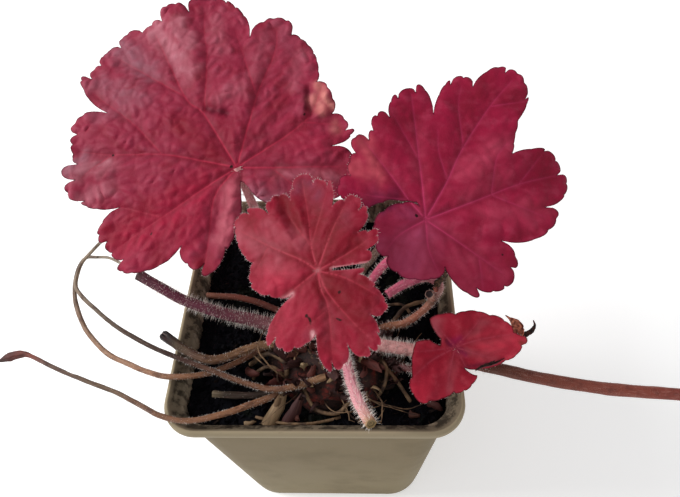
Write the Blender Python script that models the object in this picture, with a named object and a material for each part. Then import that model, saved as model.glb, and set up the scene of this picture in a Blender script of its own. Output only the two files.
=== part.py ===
"""A young heuchera with dark red leaves in a square nursery pot.

Lengths are in millimetres and become metres as each mesh is made. The origin is the middle
of the pot's underside, +Z is up, and -Y is the front of the pot.
"""
import math
import random

import bmesh
import bpy
import numpy as np
from mathutils import Vector, noise
from mathutils.geometry import delaunay_2d_cdt

MM = 0.001
GAP = 0.3            # between pieces that touch
SEED = 11

# Pot, a square 9 cm nursery pot
RIM_WIDTH = 90.0
POT_HEIGHT = 100.0
BASE_WIDTH = 75.0
RIM_CORNER = 10.5
WALL_CORNER = 10.0   # the wall's own corner, just under the rim
BASE_CORNER = 14.0
LIP_OUT = 2.8        # how far the rim stands out from the wall
LIP_TALL = 3.8
WALL = 1.3
FLOOR = 1.8
CORNER_STEPS = 6
DRAIN_RADIUS = 3.5
DRAIN_FROM_CENTRE = 21.0

# Soil
SOIL_TOP = 91.5
SOIL_LUMPS = 2.2
SOIL_CELLS = 13

# Crown, the woody rootstock
CROWN_CENTRE = (6.0, -20.0, 92.0)
CROWN_HALF = (21.0, 15.0, 9.0)
CROWN_LUMPS = 0.2
SCALE_COUNT = 16
SCALE_LENGTH = 8.0
SCALE_THICK = 0.9
SCALE_KEEL = 0.5     # how far a scale's middle dips below its sides

# Leaves
BLADE_THICK = 0.85
SEAT_CLEAR = 0.45    # from a stalk's flat end to the blade's gently waved underside
GRID_STEP = 6.5
STEM_SIDES = 8


# A leaf's edge runs round its stalk in scallops, given counterclockwise in degrees and millimetres:
# the angle and reach of the notch where the scallop starts, and the reach of its bulge.
LEFT_EDGE = [
    (300, 6, 13), (322, 17, 25), (343, 31, 36), (11, 28.5, 36), (18, 34.3, 35.8), (31, 33, 36),
    (44, 29, 42.5), (60, 45, 48), (72, 49, 54), (88, 46, 63), (109, 61.5, 66.8), (118, 63.2, 66),
    (125, 64.8, 69), (133, 65.5, 68.2), (141, 65, 66.4), (146, 63.5, 63.5), (154, 49.5, 57.5),
    (165, 55.5, 55), (176, 51, 54.8), (182, 51, 54.5), (190, 49, 47), (197, 38, 46),
    (209, 45, 45.5), (220, 43, 42), (238, 28.5, 32.5), (255, 30.5, 33), (266, 25, 18), (283, 6, 5),
]
RIGHT_EDGE = [
    (112, 4.4, 6.4), (141, 7.7, 10), (169, 11.6, 15.2), (225, 15.2, 17.5), (290, 14.3, 25),
    (309, 24.2, 28.5), (330, 26.6, 26.5), (345, 21.5, 36), (8, 34.8, 44.3), (21, 43.3, 45.3),
    (32, 43.4, 40.5), (39, 34, 38.6), (48, 43.6, 50.5), (51, 51.8, 58.4), (61, 57.3, 57), (69, 47.5, 50.5),
    (77, 46.5, 44.3), (83, 34, 42.8), (91, 41.4, 42.7), (99, 39.5, 39), (106, 33, 35),
    (117, 30.6, 30.4), (122, 28.6, 31.4), (134, 27.4, 27), (148, 24.2, 25.6), (164, 21, 16),
    (170, 12.9, 11), (142, 9.1, 7), (114, 5.8, 5),
]
FRONT_EDGE = [
    (4, 3.5, 8), (3, 12.3, 13.8), (17, 12.9, 16.9), (33, 15, 14.6), (39, 13.3, 18.4), (53, 17.5, 20.2),
    (68, 18.3, 17.8), (77, 16.4, 22), (84, 21.6, 23.8), (94, 23, 26.9), (108, 23.4, 23.2),
    (112, 21, 24.4), (130, 21.4, 26.4), (139, 26.3, 29.2), (150, 27.7, 24), (168, 18, 18.4),
    (185, 17.4, 16.6), (201, 13.2, 11.6), (220, 8.4, 19), (236, 18.4, 20.1), (253, 18.5, 17.4),
    (270, 14.9, 23), (280, 22.2, 24), (293, 19.5, 23.7), (304, 22.6, 24), (313, 21.2, 20.8),
    (319, 17.3, 19.8), (332, 18.7, 17.5), (340, 14.8, 13.8), (350, 10.6, 11.6), (358, 11.6, 8),
    (355, 3.5, 3.6),
]
FOLDED_EDGE = [
    (172, 4.4, 6.2), (163, 7.6, 9.8), (171, 11.6, 13.0), (209, 14.8, 17.4), (236, 15.8, 13.8),
    (262, 11.6, 11.2), (307, 9.6, 8.0), (292, 6.1, 7.5), (319, 8.6, 11.3), (346, 13.8, 16.8),
    (6, 20.4, 22.6), (16, 20.4, 18.6), (18, 16.2, 15.4), (46, 13.2, 11.5), (91, 9.6, 10.3),
    (131, 10.6, 7.8), (150, 4.7, 4.3),
]

# centre: where the stalk meets the blade; facing: the upper side's direction; size: scales the edge;
# droop: how far the edge hangs; waves: (count, height, turn); lifts: (angle, width, height) of
# turned-up lobes; valley: (direction, slope) of the fold along the midrib
RELIEF_WAY = (0.06, -0.6, 0.8)       # the way that every blade's waves and folds stand out
LEAVES = {
    "leaf_left": dict(edge=LEFT_EDGE, centre=(-22.3, 22.9, 140.0), facing=(-0.05, -0.342, 0.94),
                      size=1.02, droop=5.0, waves=(5, 1.8, 20), reach=62,
                      lifts=((43, 9, 14), (114, 9, 3), (179, 7, 5), (262, 14, 20)), valley=None,
                      colour=(0.30, 0.055, 0.095)),
    "leaf_right": dict(edge=RIGHT_EDGE, centre=(33.3, 0.9, 140.0), facing=(0.12, -0.30, 0.95),
                       size=1.01, droop=3.5, waves=(6, 1.5, 50), reach=50,
                       lifts=((130, 12, 8), (240, 25, 20), (20, 12, -2)), valley=None,
                       colour=(0.33, 0.03, 0.08)),
    "leaf_front": dict(edge=FRONT_EDGE, centre=(5.3, -22.4, 150.0), facing=(-0.30, -0.30, 0.90),
                       size=1.01, droop=2.0, waves=(6, 0.9, 10), reach=27,
                       lifts=((100, 14, -1), (150, 15, -2), (285, 12, -1.5)), valley=None,
                       colour=(0.38, 0.03, 0.06)),
    "leaf_folded": dict(edge=FOLDED_EDGE, centre=(41.5, -25.3, 115.0), facing=(0.1, -0.45, 0.9),
                        size=1.0, droop=0.3, waves=(3, 0.3, 0), reach=20,
                        lifts=((12, 10, 1),), valley=(140, 0.36),
                        colour=(0.42, 0.03, 0.055)),
}

# Each stalk or stem: its route from the crown outwards, and its radius at points along it
STALK_COLOUR = (0.42, 0.12, 0.17)
DRY_COLOUR = (0.16, 0.09, 0.05)
STEMS = {
    "stub_long": dict(route=[(-6, -12, 98), (-16, -9, 100.5), (-30, -7.6, 105), (-41.4, -5.2, 109),
                             (-49.4, -1.9, 112), (-56.3, 1.4, 114.2)],
                      radius=[2.0, 2.2, 1.9, 1.7, 1.7, 1.8], colour=(0.15, 0.05, 0.06)),
    "stub_smooth": dict(route=[(-5, -8, 95.2), (-12, -2, 95.2), (-25.7, 3.6, 95.4), (-39, 4.6, 96.5)],
                        radius=[1.1, 1.1, 1.1, 1.0], colour=DRY_COLOUR),
    "stub_dry": dict(route=[(-5.5, -19, 98.2), (-10.5, -16.6, 99.2), (-17.1, -16.6, 100),
                            (-23.5, -19.3, 101), (-28.7, -22, 102), (-33.6, -22.7, 103),
                            (-40.3, -19.8, 103.7), (-47.9, -15, 104.6)],
                     radius=[1.35, 1.35, 1.3, 1.25, 1.25, 1.3, 1.35, 1.5], colour=DRY_COLOUR),
    "dry_stem_inner": dict(route=[(3.5, -27, 99.6), (-4.2, -30, 100.2), (-12, -31.4, 100.4),
                                  (-21, -29.6, 101.4), (-32, -26.1, 103.2), (-41.2, -23.2, 105),
                                  (-50, -20, 106.4), (-58.5, -15.7, 107), (-64.7, -11.8, 107),
                                  (-71.5, -6.6, 107), (-77.2, -1.9, 107), (-80.1, 1.7, 107.5),
                                  (-80.4, 6.3, 108.5), (-79.1, 9.9, 110), (-75.6, 13, 112.2),
                                  (-71.6, 15.3, 115), (-68, 16.2, 118)],
                           radius=[1.1, 1.0, 0.9, 0.85, 0.8, 0.75, 0.7, 0.7, 0.65, 0.65, 0.65, 0.6, 0.6,
                                   0.55, 0.5, 0.5, 0.45], colour=(0.25, 0.16, 0.09)),
    "dry_stem_outer": dict(route=[(-7, -14.5, 95.5), (-17, -16.2, 96.3), (-26.9, -22.6, 98.2),
                                  (-34.4, -26.6, 100.6), (-43.6, -28.3, 102.6), (-51.3, -26.4, 102.4),
                                  (-58.2, -23.5, 101.8), (-65.8, -19.8, 101), (-72.7, -14.1, 101),
                                  (-77.8, -8.1, 101.4), (-82, -0.2, 102.4), (-83, 5.3, 103.9),
                                  (-82.4, 10.6, 105.9), (-80.2, 13.4, 107.4), (-75.6, 12.6, 108.8),
                                  (-69.1, 9.6, 112.5), (-61.6, 4.2, 116.4)],
                           radius=[0.95, 0.95, 0.9, 0.9, 0.85, 0.8, 0.8, 0.8, 0.75, 0.75, 0.7, 0.65, 0.6,
                                   0.55, 0.5, 0.45, 0.45], colour=(0.25, 0.16, 0.09)),
    "dry_stem_low": dict(route=[(-7.5, -28.6, 95.5), (-12, -32, 97), (-18.8, -35.6, 99),
                                (-24.2, -38.4, 100.6), (-32.3, -41.2, 102), (-38.5, -41.6, 102.6),
                                (-44.5, -40.2, 102.8), (-50.8, -37.1, 102.5), (-60, -32.6, 101.5),
                                (-69.8, -28.8, 100), (-83.1, -23.2, 97.5), (-95.4, -17.2, 94.5),
                                (-99.5, -16, 93.6), (-104, -16.4, 92.4), (-107.6, -17.4, 91.4)],
                         radius=[1.1, 1.0, 0.95, 0.9, 0.85, 0.8, 0.75, 0.7, 0.7, 0.65, 0.65, 0.65, 1.2,
                                 1.5, 0.5], colour=(0.25, 0.16, 0.09)),
    "stub_thin": dict(route=[(-8, -25, 94.8), (-12.5, -29.5, 95), (-20, -31.3, 95.2), (-31.5, -30.8, 95.6)],
                      radius=[1.0, 1.0, 1.0, 1.05], colour=DRY_COLOUR),
    "stub_front": dict(route=[(8.5, -17.5, 99.5), (10, -24, 104.6), (12.2, -34.1, 110), (14.5, -41.5, 114),
                              (17.4, -47.7, 117)],
                       radius=[1.5, 1.5, 1.45, 1.5, 1.5], colour=(0.55, 0.27, 0.26)),
    "stub_hook": dict(route=[(15.5, -12, 98), (22.4, -9.4, 98.4), (28.5, -8.9, 100), (33.6, -6.7, 103),
                             (37.8, -3.4, 106), (39.4, -0.6, 108.4), (37.2, 1.4, 110), (33.4, 1.3, 110.6),
                             (27.4, -1.2, 110.2), (22.8, -4.2, 109.6)],
                      radius=[1.3, 1.25, 1.2, 1.2, 1.25, 1.4, 1.5, 1.45, 1.4, 1.25],
                      colour=(0.45, 0.17, 0.2)),
    "stub_olive": dict(route=[(8, -9, 96), (10, -1, 97.5), (14.2, 8, 103), (19.6, 12.1, 110),
                              (22.6, 14, 115)],
                       radius=[1.2, 1.2, 1.2, 1.2, 1.1], colour=(0.17, 0.11, 0.06)),
    "flower_stem": dict(route=[(14.5, -16, 99), (19.5, -17, 100.6), (30.9, -20.6, 104), (42.5, -24.7, 106.4),
                               (54, -28.8, 108.5), (66, -32.6, 110), (79.7, -35.5, 111),
                               (89.9, -36.6, 111), (100.4, -37.2, 110.5), (114.5, -37.4, 109)],
                        radius=[2.0, 2.0, 1.9, 1.8, 1.75, 1.7, 1.65, 1.65, 1.6, 1.6],
                        colour=(0.28, 0.07, 0.06)),
}
# The leaf stalks start at the crown and end square under their blade
STALKS = {
    "stalk_left": dict(leaf="leaf_left", route=[(-1, -11, 99), (-8.5, -1.5, 110), (-16.5, 13.5, 125.5)],
                       radius=[1.7, 1.5, 1.35, 1.4]),
    "stalk_right": dict(leaf="leaf_right", route=[(10, -14, 100), (15.2, -2.6, 106), (20.5, 2.2, 114),
                                                  (27.5, 3, 124.5)],
                        radius=[1.5, 1.3, 1.25, 1.2, 1.3]),
    "stalk_front": dict(leaf="leaf_front", route=[(2.5, -17.5, 101), (3.2, -18.5, 118), (4.4, -20, 135)],
                        radius=[1.4, 1.2, 1.1, 1.1]),
    "stalk_folded": dict(leaf="leaf_folded", route=[(16.5, -20.8, 96.2), (24, -22, 97), (31, -25.2, 100),
                                                    (37.6, -28.4, 106)],
                         radius=[1.2, 1.1, 1.0, 1.0, 1.0]),
}


def clear_scene():
    for item in list(bpy.data.objects):
        bpy.data.objects.remove(item)


def add_material(name, colour, roughness, metallic=0.0):
    material = bpy.data.materials.new(name)
    material.use_nodes = True
    shader = material.node_tree.nodes["Principled BSDF"]
    shader.inputs["Base Color"].default_value = (*colour, 1)
    shader.inputs["Roughness"].default_value = roughness
    shader.inputs["Metallic"].default_value = metallic
    return material


def add_object(name, points, faces, material=None):
    """A named object from points in millimetres, with its faces turned outwards."""
    mesh = bpy.data.meshes.new(name)
    mesh.from_pydata([tuple(value * MM for value in point) for point in points], [], faces)
    work = bmesh.new()
    work.from_mesh(mesh)
    bmesh.ops.recalc_face_normals(work, faces=work.faces)
    work.to_mesh(mesh)
    work.free()
    if material:
        mesh.materials.append(material)
    item = bpy.data.objects.new(name, mesh)
    bpy.context.scene.collection.objects.link(item)
    return item


def rounded_square(half, corner, height):
    """One ring of points round a square with rounded corners."""
    ring = []
    for quarter in range(4):
        turn = quarter * math.pi / 2
        along, across = ((1, 1), (-1, 1), (-1, -1), (1, -1))[quarter]
        for step in range(CORNER_STEPS + 1):
            angle = turn + step / CORNER_STEPS * math.pi / 2
            ring.append((along * (half - corner) + corner * math.cos(angle),
                         across * (half - corner) + corner * math.sin(angle), height))
    return ring


def loft(rings):
    """Join rings of equal length into a closed skin with flat ends."""
    count = len(rings[0])
    points = [point for ring in rings for point in ring]
    faces = []
    for level in range(len(rings) - 1):
        for index in range(count):
            after = (index + 1) % count
            low, high = level * count, (level + 1) * count
            faces.append((low + index, low + after, high + after, high + index))
    faces.append(tuple(range(count))[::-1])
    faces.append(tuple(range((len(rings) - 1) * count, len(rings) * count)))
    return points, faces


def wall_half(height, inset=0.0):
    """Half the width of the pot's tapered wall at a height."""
    top = RIM_WIDTH / 2 - LIP_OUT
    share = height / POT_HEIGHT
    return BASE_WIDTH / 2 + (top - BASE_WIDTH / 2) * share - inset


def wall_corner(height, inset=0.0):
    share = height / POT_HEIGHT
    return BASE_CORNER + (WALL_CORNER - BASE_CORNER) * share - inset


def wall_ring(height, inset=0.0):
    return rounded_square(wall_half(height, inset), wall_corner(height, inset), height)


def cut(target, cutter):
    """Take one object out of another, and drop any loose scrap."""
    modifier = target.modifiers.new("cut", "BOOLEAN")
    modifier.operation = "DIFFERENCE"
    modifier.solver = "EXACT"
    modifier.object = cutter
    apply_modifiers(target)
    bpy.data.objects.remove(cutter)
    keep_largest(target)


def apply_modifiers(item):
    graph = bpy.context.evaluated_depsgraph_get()
    mesh = bpy.data.meshes.new_from_object(item.evaluated_get(graph))
    item.modifiers.clear()
    item.data = mesh


def keep_largest(item):
    """Keep the body with the most faces."""
    work = bmesh.new()
    work.from_mesh(item.data)
    bmesh.ops.remove_doubles(work, verts=work.verts, dist=0.00002)
    left = set(work.faces)
    bodies = []
    while left:
        body, front = set(), [left.pop()]
        while front:
            face = front.pop()
            body.add(face)
            for edge in face.edges:
                for other in edge.link_faces:
                    if other in left:
                        left.discard(other)
                        front.append(other)
        bodies.append(body)
    bodies.sort(key=len)
    scraps = [face for body in bodies[:-1] for face in body]
    bmesh.ops.delete(work, geom=scraps, context="FACES")
    loose = [vert for vert in work.verts if not vert.link_faces]
    bmesh.ops.delete(work, geom=loose, context="VERTS")
    work.to_mesh(item.data)
    work.free()


def make_pot(material):
    half, corner = RIM_WIDTH / 2, RIM_CORNER
    under_lip = POT_HEIGHT - LIP_TALL
    outside = [wall_ring(0), wall_ring(under_lip),
               rounded_square(half - 0.5, corner - 0.3, under_lip + 0.6),
               rounded_square(half, corner, POT_HEIGHT - 1.2)]
    top = [rounded_square(half - 0.6, corner - 0.4, POT_HEIGHT),
           rounded_square(half - 1.2, corner - 0.8, POT_HEIGHT)]
    inside = [wall_ring(under_lip - 0.4, WALL), wall_ring(FLOOR, WALL)]
    pot = add_object("pot", *loft(outside + top + inside), material)
    for across in (-1, 1):
        for along in (-1, 1):
            cut(pot, drain_cutter(across * DRAIN_FROM_CENTRE, along * DRAIN_FROM_CENTRE))
    return pot


def drain_cutter(across, along):
    steps = 12
    rings = [[(across + DRAIN_RADIUS * math.cos(step / steps * math.tau),
               along + DRAIN_RADIUS * math.sin(step / steps * math.tau), height)
              for step in range(steps)] for height in (-2, FLOOR + 2)]
    return add_object("drain_cutter", *loft(rings))


def make_soil(material):
    """Potting mix: the pot's inside shape, with a lumpy top."""
    inset = WALL + GAP
    low = FLOOR + GAP
    rings = [wall_ring(low, inset), wall_ring(SOIL_TOP - 5, inset)]
    rim = wall_ring(SOIL_TOP - 1.5, inset)
    points, faces = loft(rings + [rim])
    faces.pop()
    first_rim = 2 * len(rim)
    half = wall_half(SOIL_TOP, inset)
    spots = [Vector((point[0], point[1])) for point in rim]
    for row in range(SOIL_CELLS):
        for column in range(SOIL_CELLS):
            x = (2 * (column + 0.5) / SOIL_CELLS - 1) * (half - 1)
            y = (2 * (row + 0.5) / SOIL_CELLS - 1) * (half - 1)
            if max(abs(x), abs(y)) < half - 2 and abs(x) + abs(y) < 2 * half - 8:
                spots.append(Vector((x, y)))
    edges = [(index, (index + 1) % len(rim)) for index in range(len(rim))]
    flat, _, triangles, origin, _, _ = delaunay_2d_cdt(spots, edges, [], 0, 0.001)
    place = {}
    for index, spot in enumerate(flat):
        source = origin[index][0]
        if source < len(rim):
            place[index] = first_rim + source
        else:
            lump = noise.noise(Vector((spot.x, spot.y, 0)) * 0.12) * SOIL_LUMPS
            place[index] = len(points)
            points.append((spot.x, spot.y, SOIL_TOP + lump))
    faces += [tuple(place[corner] for corner in triangle) for triangle in triangles]
    return add_object("soil", points, faces, material)


def smooth_route(points, steps):
    """A Catmull-Rom curve through the points, with so many steps between each two."""
    points = [np.array(point, float) for point in points]
    padded = [2 * points[0] - points[1]] + points + [2 * points[-1] - points[-2]]
    route = []
    for index in range(1, len(padded) - 2):
        before, start, end, after = padded[index - 1:index + 3]
        for step in range(steps):
            t = step / steps
            bend = 2 * before - 5 * start + 4 * end - after
            twist = 3 * start - before - 3 * end + after
            route.append(0.5 * (2 * start + (end - before) * t + bend * t ** 2 + twist * t ** 3))
    route.append(points[-1])
    return route


def tube_rings(route, radii, sides, extra=0.0):
    """Rings round a route that don't twist; extra makes the tube fatter and longer all round."""
    if extra:
        first = route[0] - route[1]
        last = route[-1] - route[-2]
        route = ([route[0] + first / np.linalg.norm(first) * extra] + route[1:-1]
                 + [route[-1] + last / np.linalg.norm(last) * extra])
    rings = []
    side = None
    for index, point in enumerate(route):
        along = route[min(index + 1, len(route) - 1)] - route[max(index - 1, 0)]
        along = along / np.linalg.norm(along)
        if side is None:
            side = np.cross(along, (0, 0, 1) if abs(along[2]) < 0.9 else (1, 0, 0))
        side = side - along * (side @ along)
        side = side / np.linalg.norm(side)
        other = np.cross(along, side)
        radius = radii[index] + extra
        rings.append([tuple(point + radius * (math.cos(turn) * side + math.sin(turn) * other))
                      for turn in (step / sides * math.tau for step in range(sides))])
    return rings


def lay_flat(ring, centre, along, facing):
    """Slide a ring's points along the stem until they lie in a plane through its centre."""
    slope = along @ facing
    return [tuple(np.array(point) + along * ((centre - point) @ facing) / slope) for point in ring]


def stem_shape(spec):
    """The full route and the radius at each of its points."""
    points = spec["route"]
    steps = 2 if len(points) > 8 else 3
    route = smooth_route(points, steps)
    places = np.linspace(0, len(points) - 1, len(route))
    radii = np.interp(places, range(len(points)), spec["radius"])
    return route, list(radii)


def make_stem(name, spec, material):
    route, radii = stem_shape(spec)
    rings = tube_rings(route, radii, STEM_SIDES)
    if "end_facing" in spec:
        rings[-1] = lay_flat(rings[-1], route[-1], route[-1] - route[-2], spec["end_facing"])
    item = add_object(name, *loft(rings), material)
    item.data.shade_smooth()
    item.data.set_sharp_from_angle(angle=math.radians(50))
    return item


def stem_cutter(spec):
    route, radii = stem_shape(spec)
    near = 8
    return add_object("stem_cutter", *loft(tube_rings(route[:near], radii[:near], STEM_SIDES, GAP + 0.12)))


def leaf_axes(facing):
    up = np.array(facing, float)
    up /= np.linalg.norm(up)
    across = np.array((1.0, 0, 0))
    across -= up * (across @ up)
    across /= np.linalg.norm(across)
    return across, np.cross(up, across), up


def leaf_outline(edge, size):
    """Points round the blade: every scallop is a rounded arc between two narrow notches."""
    outline = []
    for index, (angle, notch, bulge) in enumerate(edge):
        next_angle, next_notch, _ = edge[(index + 1) % len(edge)]
        turn = (next_angle - angle + 180) % 360 - 180
        span = math.hypot(math.radians(turn) * bulge, next_notch - notch)
        steps = 2 if span < 4 else 3 if span < 9 else 4 if span < 16 else 6
        for step in range(steps):
            t = step / steps
            base = notch + (next_notch - notch) * t
            middle = (notch + next_notch) / 2
            arch = (1 - abs(2 * t - 1) ** 2.3) ** (1 / 2.3)
            reach = size * (base + (bulge - middle) * arch)
            here = math.radians(angle + turn * t)
            outline.append((reach * math.cos(here), reach * math.sin(here)))
    return outline


def leaf_height(spec, x, y):
    """How far the blade stands above its flat plane."""
    radius = math.hypot(x, y)
    angle = math.degrees(math.atan2(y, x))
    share = radius / spec["reach"]
    count, high, turn = spec["waves"]
    height = -spec["droop"] * share ** 2 + high * share ** 2 * math.cos(math.radians(count * (angle - turn)))
    for place, width, lift in spec["lifts"]:
        away = (angle - place + 180) % 360 - 180
        height += lift * share ** 3 * math.exp(-(away / width) ** 2)
    if spec["valley"]:
        direction, slope = spec["valley"]
        off = y * math.cos(math.radians(direction)) - x * math.sin(math.radians(direction))
        height += slope * (math.sqrt(off ** 2 + 4) - 2)
    return height


def inside(point, outline):
    crossing = False
    for index, (x1, y1) in enumerate(outline):
        x2, y2 = outline[index - 1]
        if (y1 > point[1]) != (y2 > point[1]) and point[0] < (x2 - x1) * (point[1] - y1) / (y2 - y1) + x1:
            crossing = not crossing
    return crossing


def make_leaf(name, spec, material):
    """A thin waved blade, split into the same triangles above and below."""
    outline = leaf_outline(spec["edge"], spec["size"])
    spots = [Vector(point) for point in outline]
    reach = int(70 / GRID_STEP) + 1
    for row in range(-reach, reach + 1):
        for column in range(-reach, reach + 1):
            spot = Vector(((column + 0.5 * (row % 2)) * GRID_STEP, row * GRID_STEP * 0.866))
            clear = min((spot - Vector(point)).length for point in outline)
            if clear > GRID_STEP * 0.4 and inside(spot, outline):
                spots.append(spot)
    ring = list(range(len(outline)))
    flat, _, triangles, _, _, _ = delaunay_2d_cdt(spots, [], [ring], 1, 0.0001)
    across, along, _ = leaf_axes(spec["facing"])
    centre = np.array(spec["centre"])
    relief = np.array(RELIEF_WAY)
    points = []
    for thick in (0, BLADE_THICK):
        for spot in flat:
            height = leaf_height(spec, spot.x, spot.y) - thick
            points.append(tuple(centre + across * spot.x + along * spot.y + relief * height))
    count = len(flat)
    faces = [tuple(triangle) for triangle in triangles]
    faces += [tuple(corner + count for corner in reversed(triangle)) for triangle in triangles]
    used = {}
    for triangle in triangles:
        for index in range(3):
            used[(triangle[index], triangle[(index + 1) % 3])] = True
    for start, end in used:
        if (end, start) not in used:
            faces.append((end, start, start + count))
            faces.append((end, start + count, end + count))
    item = add_object(name, points, faces, material)
    item.data.shade_smooth()
    item.data.set_sharp_from_angle(angle=math.radians(50))
    return item


def stalk_spec(stalk):
    """A leaf stalk's route, whose end lies flat under the blade and just clear of it."""
    leaf = LEAVES[stalk["leaf"]]
    _, _, up = leaf_axes(leaf["facing"])
    end = np.array(leaf["centre"]) - np.array(RELIEF_WAY) * (BLADE_THICK + SEAT_CLEAR)
    return dict(route=stalk["route"] + [tuple(end)], radius=stalk["radius"], end_facing=up)


def make_core():
    """The lumpy body of the rootstock."""
    work = bmesh.new()
    bmesh.ops.create_icosphere(work, subdivisions=3, radius=1)
    points = []
    for vert in work.verts:
        lump = 1 + noise.noise(vert.co * 2.2) * CROWN_LUMPS
        reach = [vert.co[axis] * CROWN_HALF[axis] * lump for axis in range(3)]
        points.append(tuple(CROWN_CENTRE[axis] + reach[axis] for axis in range(3)))
    faces = [tuple(vert.index for vert in face.verts) for face in work.faces]
    work.free()
    return points, faces


def scale_blade(turn, lean, length):
    """One papery bud scale on the rootstock, standing out and up."""
    base = np.array((CROWN_CENTRE[0] + CROWN_HALF[0] * 0.82 * math.cos(turn),
                     CROWN_CENTRE[1] + CROWN_HALF[1] * 0.82 * math.sin(turn), CROWN_CENTRE[2] + 1.5))
    out = np.array((math.cos(turn) * math.cos(lean), math.sin(turn) * math.cos(lean), math.sin(lean)))
    side = np.array((-math.sin(turn), math.cos(turn), 0))
    up = np.cross(out, side)
    half_widths = (1.6, 2.1, 1.7, 0.6)
    rings = []
    for step, half in enumerate(half_widths):
        share = step / (len(half_widths) - 1)
        middle = base + out * length * share + up * 1.4 * share ** 2
        width = (side * half, -up * SCALE_KEEL, -side * half)
        thick = up * SCALE_THICK / 2
        rings.append([tuple(middle + offset + thick) for offset in width]
                     + [tuple(middle + offset - thick) for offset in reversed(width)])
    return loft(rings)


def make_crown(material, stems):
    """The rootstock with its scales, with a socket for each stem."""
    draw = random.Random(SEED)
    core = add_object("crown", *make_core(), material)
    pieces = bpy.data.collections.new("scales")
    bpy.context.scene.collection.children.link(pieces)
    for index in range(SCALE_COUNT):
        turn = (index + draw.uniform(-0.3, 0.3)) / SCALE_COUNT * math.tau
        scale = add_object("scale", *scale_blade(turn, math.radians(draw.uniform(20, 60)),
                                                 SCALE_LENGTH * draw.uniform(0.7, 1.1)))
        bpy.context.scene.collection.objects.unlink(scale)
        pieces.objects.link(scale)
    union = core.modifiers.new("scales", "BOOLEAN")
    union.operation = "UNION"
    union.solver = "EXACT"
    union.operand_type = "COLLECTION"
    union.collection = pieces
    apply_modifiers(core)
    for scale in list(pieces.objects):
        bpy.data.objects.remove(scale)
    bpy.data.collections.remove(pieces)
    for spec in stems:
        cut(core, stem_cutter(spec))
    return core


def crown_seat():
    """The hollow in the soil that the rootstock sits in."""
    points, faces = make_core()
    seat = add_object("seat", points, faces)
    for vert in seat.data.vertices:
        vert.co += vert.normal * (GAP + 0.1) * MM
    return seat


def main():
    clear_scene()
    make_pot(add_material("pot plastic", (0.24, 0.20, 0.14), 0.5))
    soil = make_soil(add_material("potting soil", (0.012, 0.01, 0.009), 0.95))
    cut(soil, crown_seat())
    stalks = {name: stalk_spec(stalk) for name, stalk in STALKS.items()}
    for name, spec in STEMS.items():
        make_stem(name, spec, add_material(name.replace("_", " "), spec["colour"], 0.6))
    for name, spec in stalks.items():
        make_stem(name, spec, add_material(name.replace("_", " "), STALK_COLOUR, 0.55))
    for name, spec in LEAVES.items():
        make_leaf(name, spec, add_material(name.replace("_", " "), spec["colour"], 0.5))
    make_crown(add_material("rootstock", (0.12, 0.05, 0.03), 0.8),
               list(STEMS.values()) + list(stalks.values()))


main()
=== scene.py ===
# A dark red heuchera in its square nursery pot: the finish of every piece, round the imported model.
# Lengths are in millimetres and angles in degrees, and are turned into Blender's units where they are used.
import math
import random

import bmesh
import bpy
import numpy as np
from mathutils import Matrix, Vector, kdtree, noise
from mathutils.geometry import delaunay_2d_cdt


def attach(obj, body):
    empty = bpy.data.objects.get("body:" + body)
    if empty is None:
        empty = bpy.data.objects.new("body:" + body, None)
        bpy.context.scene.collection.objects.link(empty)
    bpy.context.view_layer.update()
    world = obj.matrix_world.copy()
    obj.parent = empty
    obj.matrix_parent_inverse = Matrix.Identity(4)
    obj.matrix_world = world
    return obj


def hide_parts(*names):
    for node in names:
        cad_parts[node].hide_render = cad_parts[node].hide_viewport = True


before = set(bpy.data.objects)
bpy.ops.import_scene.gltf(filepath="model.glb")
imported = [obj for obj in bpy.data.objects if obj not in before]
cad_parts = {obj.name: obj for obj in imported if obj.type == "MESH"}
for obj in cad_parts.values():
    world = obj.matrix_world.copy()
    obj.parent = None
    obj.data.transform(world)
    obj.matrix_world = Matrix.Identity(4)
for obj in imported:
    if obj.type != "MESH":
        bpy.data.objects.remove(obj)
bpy.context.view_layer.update()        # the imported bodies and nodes, which every piece is fitted to

mm = 0.001


# Shader tools
def linear(value):                   # an 8-bit screen value as a share of light
    share = value / 255
    return share / 12.92 if share <= 0.04045 else ((share + 0.055) / 1.055) ** 2.4


def tint(red, green, blue):
    return (linear(red), linear(green), linear(blue), 1.0)


class Wire:                          # a shader socket that can stand in a sum
    def __init__(self, finish, socket):
        self.finish = finish
        self.socket = socket

    def sum(self, operation, first, second):
        return self.finish.node("Math", {"operation": operation}, {0: first, 1: second})

    def __add__(self, other):
        return self.sum("ADD", self, other)

    def __radd__(self, other):
        return self.sum("ADD", other, self)

    def __sub__(self, other):
        return self.sum("SUBTRACT", self, other)

    def __rsub__(self, other):
        return self.sum("SUBTRACT", other, self)

    def __mul__(self, other):
        return self.sum("MULTIPLY", self, other)

    def __rmul__(self, other):
        return self.sum("MULTIPLY", other, self)

    def between(self, low, high):    # 0 at low, 1 at high, with a soft turn at both
        return self.finish.node("MapRange", {"interpolation_type": "SMOOTHSTEP"},
                                {"Value": self, "From Min": low, "From Max": high})


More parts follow.
